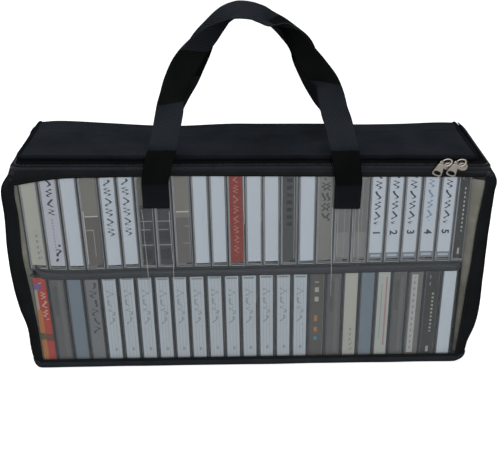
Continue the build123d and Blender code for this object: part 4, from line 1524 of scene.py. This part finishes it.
def open_box(name, size, open_sides, bevel):
    """A thin box with some sides left off, its walls grown inwards."""
    obj = box_piece(name, *size)
    bpy.ops.object.mode_set(mode="EDIT")
    bpy.ops.mesh.select_mode(type="FACE")
    bpy.ops.mesh.select_all(action="DESELECT")
    bpy.ops.object.mode_set(mode="OBJECT")
    for face in obj.data.polygons:
        face.select = any(face.normal.dot(Vector(way)) > 0.9 for way in open_sides)
    bpy.ops.object.mode_set(mode="EDIT")
    bpy.ops.mesh.delete(type="FACE")
    bpy.ops.object.mode_set(mode="OBJECT")
    apply_modifier(obj, "SOLIDIFY", thickness=case_wall, offset=-1.0, use_even_offset=True)
    apply_modifier(obj, "BEVEL", width=bevel, segments=1, limit_method="ANGLE")
    return obj


def case_places(row):
    """Where each case of a row stands, a hair uneven."""
    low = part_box(f"{row}_case_lids")[0] / MM
    spots = []
    for i in range(cases_per_row):
        dy = 0.35 * noise.noise(Vector((i * 3.1, 7.0 if row == "upper" else 2.0, 0.5)))
        spots.append(Matrix.Translation((low.x + i * case_pitch, low.y + dy, low.z)))
    return spots


# How far the cases stand from even spacing, along each row: (x, shift).
row_shift = {
    "upper": [(-212.5, -3.3), (-195.5, -1.9), (-178.5, 0.1), (-161.5, 1.2), (-144.5, 3.9), (-100, 4.1),
              (-85, 4.3), (-60, 6.3), (25, 6.4), (49, 6.9), (76, 7.3), (104, 7.0), (131, 6.2), (158, 5.6),
              (195.5, 5.0), (212.5, 0.8)],
    "lower": [(-212.5, -1.2), (-195, -1.1), (-168, -0.4), (-141, 0.3), (-114, 1.6), (-87, 3.0), (-59, 3.3),
              (-32, 4.3), (-5, 4.6), (22, 5.2), (49, 5.3), (103, 5.5), (130, 4.6), (157, 3.2), (184, 2.4),
              (212.5, 2.0)],
}


def spread_row(obj, row):
    """Space a row as it stands in the bag: loose towards the left and pressed together on the right."""
    for point in obj.data.vertices:
        point.co.x += along(point.co.x, row_shift[row])
        if row == "upper":
            point.co.z -= row_sag(point.co.x)
    return obj


def make_case_edges(row):
    """The cases' side walls as they show from the front: an edge strip, painted highlights beside it and
    along the case's foot, and a recess painted dark as shade.
    """
    spots = case_places(row)
    lower = row == "lower"
    foot, head = 1.4, case_height - 1.4
    for name, finish, strips in (
            ("edges", lower_edge_and_shade if lower else case_edge, ((0.15, 1.55), (15.75, 16.65))),
            ("glints", lower_glint if lower else case_glint, ((1.55, 1.85), (2.35, 2.6))),
            ("recesses", lower_edge_and_shade if lower else case_shade, ((1.85, 2.35), (2.6, 3.1)))):
        parts = [box_piece("edge", left, right, 1.5, 2.3, foot, head) for left, right in strips]
        if name == "glints":
            for low, high in ((1.5, 2.1), (3.3, 3.7)):
                parts.append(box_piece("sill_glint", 2.6, 15.6, 1.5, 1.9, low, high))
        obj = spread_row(copies(f"{row}_case_{name}", join("edge_pattern", parts), spots), row)
        settle(obj, "bag", "clear_case", finish, smooth=0)


def make_cases(row):
    """A row of clear cases: the halves that hold the tapes, and the halves with the spines."""
    spots = case_places(row)
    left, right, front, back, below, above = (
        (-1, 0, 0), (1, 0, 0), (0, -1, 0), (0, 1, 0), (0, 0, -1), (0, 0, 1))
    tray = open_box("tray", (0, 15.4, 1.3, case_depth, 0, case_height), (right, front), 0.25)
    rib = box_piece("rib", case_wall, 3.0, 2.0, 2.9, 20, 89)
    foot = box_piece("foot", case_wall, 14.6, 3.6, 4.4, case_wall, 4.6)
    tray = join("tray_pattern", [tray, rib, foot])
    obj = spread_row(copies(f"{row}_trays", tray, spots), row)
    tray_finish = smoke_plastic if row == "lower" else case_plastic
    settle(obj, "bag", "clear_case", tray_finish, replaces=(f"{row}_case_trays",), smooth=30)
    size = (0, case_thickness, 0, case_depth, 0, case_height)
    lid = open_box("lid", size, (left, back, above, below), 0.3)
    obj = spread_row(copies(f"{row}_spines", lid, spots), row)
    settle(obj, "bag", "clear_case", case_plastic, replaces=(f"{row}_case_lids",), smooth=30)


def make_cards(row, kinds):
    """Folded cards of a row: a spine strip and a flap for each."""
    spots = case_places(row)
    right = 15.3                    # the card's folded edge
    flap_across = 0.9               # the flap shows the card's pattern near its folded edge
    pieces = []
    for i, kind in enumerate(kinds):
        slack = noise.noise(Vector((i * 1.7, 3.0 if row == "upper" else 9.0, 0.2)))
        foot = 5.6 + 1.0 * slack
        head = 105.2 + 0.8 * slack
        left = 2.8 + 0.25 * slack
        flap = box_piece("flap", 14.9, 15.25, 1.7, 65.3, foot, head)
        strip = box_piece("strip", left, right, 1.4, 1.75, foot, head)
        for part in (flap, strip):
            part.data.materials.append(card_finishes[kind])
            pattern = part.data.uv_layers[0]
            for corner in part.data.loops:
                spot = part.data.vertices[corner.vertex_index].co
                across = (spot.x - left) / (right - left) if part is strip else flap_across
                pattern.data[corner.index].uv = (across, (spot.z - foot) / (head - foot))
            part.data.transform(spots[i])
            pieces.append(part)
    obj = spread_row(join(f"{row}_card_set", pieces), row)
    settle(obj, "bag", "card_paper", replaces=(f"{row}_cards",), smooth=0)


def make_tapes(row, special):
    """Cassettes of a row: a shell with its thick edge, seam and three pads."""
    spots = case_places(row)
    pieces = []
    for i in range(cases_per_row):
        shell = box_piece("shell", 1.5, 10.2, 3.4, 66.8, 2.8, 102.8, bevel=0.5)
        edge = box_piece("edge", 10.0, 13.4, 3.4, 18.6, 20.0, 86.0, bevel=0.6)
        seam = box_piece("seam", 5.6, 6.1, 3.2, 3.5, 6.0, 99.0)
        parts = [shell, edge, seam]
        for low, high in ((26, 34), (44, 61), (71, 79)):
            parts.append(box_piece("pad", 4.2, 12.0, 3.0, 3.5, low, high, bevel=0.15))
        for part in parts:
            part.data.materials.append(tape_finishes[special.get(i, 0)])
            part.data.transform(spots[i])
        pieces.extend(parts)
    obj = spread_row(join(f"{row}_tape_set", pieces), row)
    settle(obj, "bag", "tape_shell", replaces=(f"{row}_tapes",), smooth=30)


def make_numbers():
    """Plain numbers 1 to 5 near the foot of the five banded cards."""
    spots = case_places("upper")
    pieces = []
    for number, index in enumerate(range(19, 24), start=1):
        bpy.ops.object.text_add()
        text = start_piece("number")
        text.data.body = str(number)
        text.data.size = 10.0
        text.data.offset = 0.30
        text.data.align_x = "CENTER"
        text.data.align_y = "CENTER"
        text.data.extrude = 0.02
        bpy.ops.object.convert(target="MESH")
        numeral = start_piece("number")
        spot = spots[index] @ Vector((8.6, 1.34, 34.0))
        numeral.data.transform(Matrix.Translation(spot) @ Matrix.Rotation(math.radians(90), 4, "X")
                               @ Matrix.Rotation(math.radians(-90), 4, "Z"))
        pieces.append(numeral)
    obj = spread_row(join("card_numbers", pieces), "upper")
    settle(obj, "bag", "card_paper", moulded("pen_ink", (0.03, 0.035, 0.05), roughness=0.6), smooth=0)


# ---- Zip sliders and pulls ----------------------------------------------------------------------------
slider_up = Vector((0.0, 0.0878, 0.9961))
slider_out = Vector((0.0, -0.9961, 0.0878))
slider_places = {"left": 187.5, "right": 200.5}
slider_y = -51.66


def slider_point(side, x, up, out):
    """A place on a slider: x along the zip, up across it, out away from the bag."""
    place = slider_places[side]
    middle = Vector((place, slider_y, zip_height(place, slider_y) + 0.3))
    return middle + Vector((x, 0, 0)) + slider_up * up + slider_out * out


def make_slider(side):
    """Die-cast slider: a tapered plate over the coil, one behind it, a post and a bail."""
    def plate(out, thick, scale):
        def place(u, v):
            angle = 2 * math.pi * (u if u < 1 else 0.0)
            c, s = math.cos(angle), math.sin(angle)
            half = 3.7 + 0.9 * c
            grow = v * scale
            return slider_point(side, 5.2 * c * grow, half * s * grow, out)
        obj = sheet(f"plate_{side}", 44, 8, place, thickness=thick, loop=True)
        apply_modifier(obj, "BEVEL", width=0.35, segments=2, limit_method="ANGLE", angle_limit=0.9)
        return obj

    bpy.ops.mesh.primitive_cylinder_add(vertices=16, radius=0.45, depth=3.0)
    post = start_piece(f"post_{side}")
    post.matrix_world = frame_at(slider_point(side, 3.4, 0, 0.6), slider_up, slider_out)

    def bail_place(u, v):
        turn = math.pi * u
        centre = slider_point(side, -3.1 * math.cos(turn), 0.6, 2.9 + 2.3 * math.sin(turn) ** 0.7)
        a = 2 * math.pi * v
        radial = Vector((-math.cos(turn), 0, 0)) + slider_out * math.sin(turn)
        return centre + radial * (0.5 * math.cos(a)) + slider_up * (0.8 * math.sin(a))

    bail = ribbon(f"bail_{side}", 20, 10, bail_place)
    bpy.ops.mesh.primitive_torus_add(major_radius=3.2, minor_radius=0.7, major_segments=36, minor_segments=12)
    loop = start_piece(f"loop_{side}")
    lean = Vector((0.95, 0.0, 0.30))           # the loop's long way
    loop.matrix_world = frame_at(slider_point(side, -1.2, 3.6, 3.6), lean, slider_out + Vector((0, 0, 0.9)))
    loop.scale = (1.45, 1.0, 1.0)
    bpy.ops.object.transform_apply(location=True, rotation=True, scale=True)
    obj = join(f"zip_slider_{side}", [plate(3.0, 1.1, 1.0), plate(-0.9, 0.9, 0.92), post, bail, loop])
    return settle(obj, f"slider_{side}", "nickel", nickel, replaces=(f"slider_{side}",), smooth=45)


def make_pull(side):
    """Pull: a small ring through the bail and a flat tab with an oval hole, hanging to the left."""
    hang = Vector((-0.40, -0.06, -0.915)).normalized()
    flat = (slider_out - hang * slider_out.dot(hang)).normalized()
    cross = flat.cross(hang)
    eye = slider_point(side, -6.4, 4.0, 5.4)

    bpy.ops.mesh.primitive_torus_add(major_radius=1.9, minor_radius=0.6, major_segments=32, minor_segments=10)
    ring = start_piece(f"ring_{side}")
    ring.matrix_world = frame_at(eye, hang, flat + cross * 0.5)
    select_only(ring)
    bpy.ops.object.transform_apply(location=True, rotation=True, scale=True)

    def place(u, v):
        angle = 2 * math.pi * (u if u < 1 else 0.0)
        c, s = math.cos(angle), math.sin(angle)
        reach = 6.0 * math.copysign(abs(c) ** 0.5, c)
        width = (2.6 + 2.6 * clamp((reach + 6.0) / 12.0)) * math.copysign(abs(s) ** 0.5, s)
        hole = Vector((3.0 + 1.9 * c, 3.6 * s))
        rim = Vector((reach, width))
        spot = hole.lerp(rim, v)
        along_tab = 6.4 + spot.x
        bow = 0.5 * math.sin(math.pi * clamp(along_tab / 16.0))
        return eye + hang * (along_tab + 0.4) + cross * spot.y + flat * (0.2 + bow)

    tab = sheet(f"tab_{side}", 56, 8, place, thickness=1.1, loop=True)
    apply_modifier(tab, "BEVEL", width=0.3, segments=2, limit_method="ANGLE", angle_limit=0.9)
    obj = join(f"zip_pull_{side}", [tab, ring])
    return settle(obj, f"pull_{side}", "nickel", nickel, replaces=(f"pull_{side}",), smooth=45)


def refinish(node, material):
    """Give a solid its finish."""
    obj = frame["nodes"][node]
    obj.data.materials.clear()
    obj.data.materials.append(material)


# ---- The scene, built up --------------------------------------------------------------------------
add_camera()
add_floor()
add_light()
for side in (-1, 1):
    make_side_cloth(side)
    make_window_sheet(side)
    make_window_binding(side)
    make_handle(side)
make_row_end_lining()
make_window_creases()
make_base_cloth()
make_lid_cloth()
make_lid_roll()
for upper in (False, True):
    make_zip_tape(upper)
    make_zip_coil(upper)
make_zip_end_tabs()
make_hinge_cloth()
make_shelf_sleeve()
make_shelf_board()
for row, kinds, special in (("upper", upper_cards, upper_shells), ("lower", lower_cards, lower_shells)):
    make_cases(row)
    make_case_edges(row)
    make_cards(row, kinds)
    make_tapes(row, special)
make_numbers()
for side in ("left", "right"):
    make_slider(side)
    make_pull(side)
refinish("base_board", board_black)
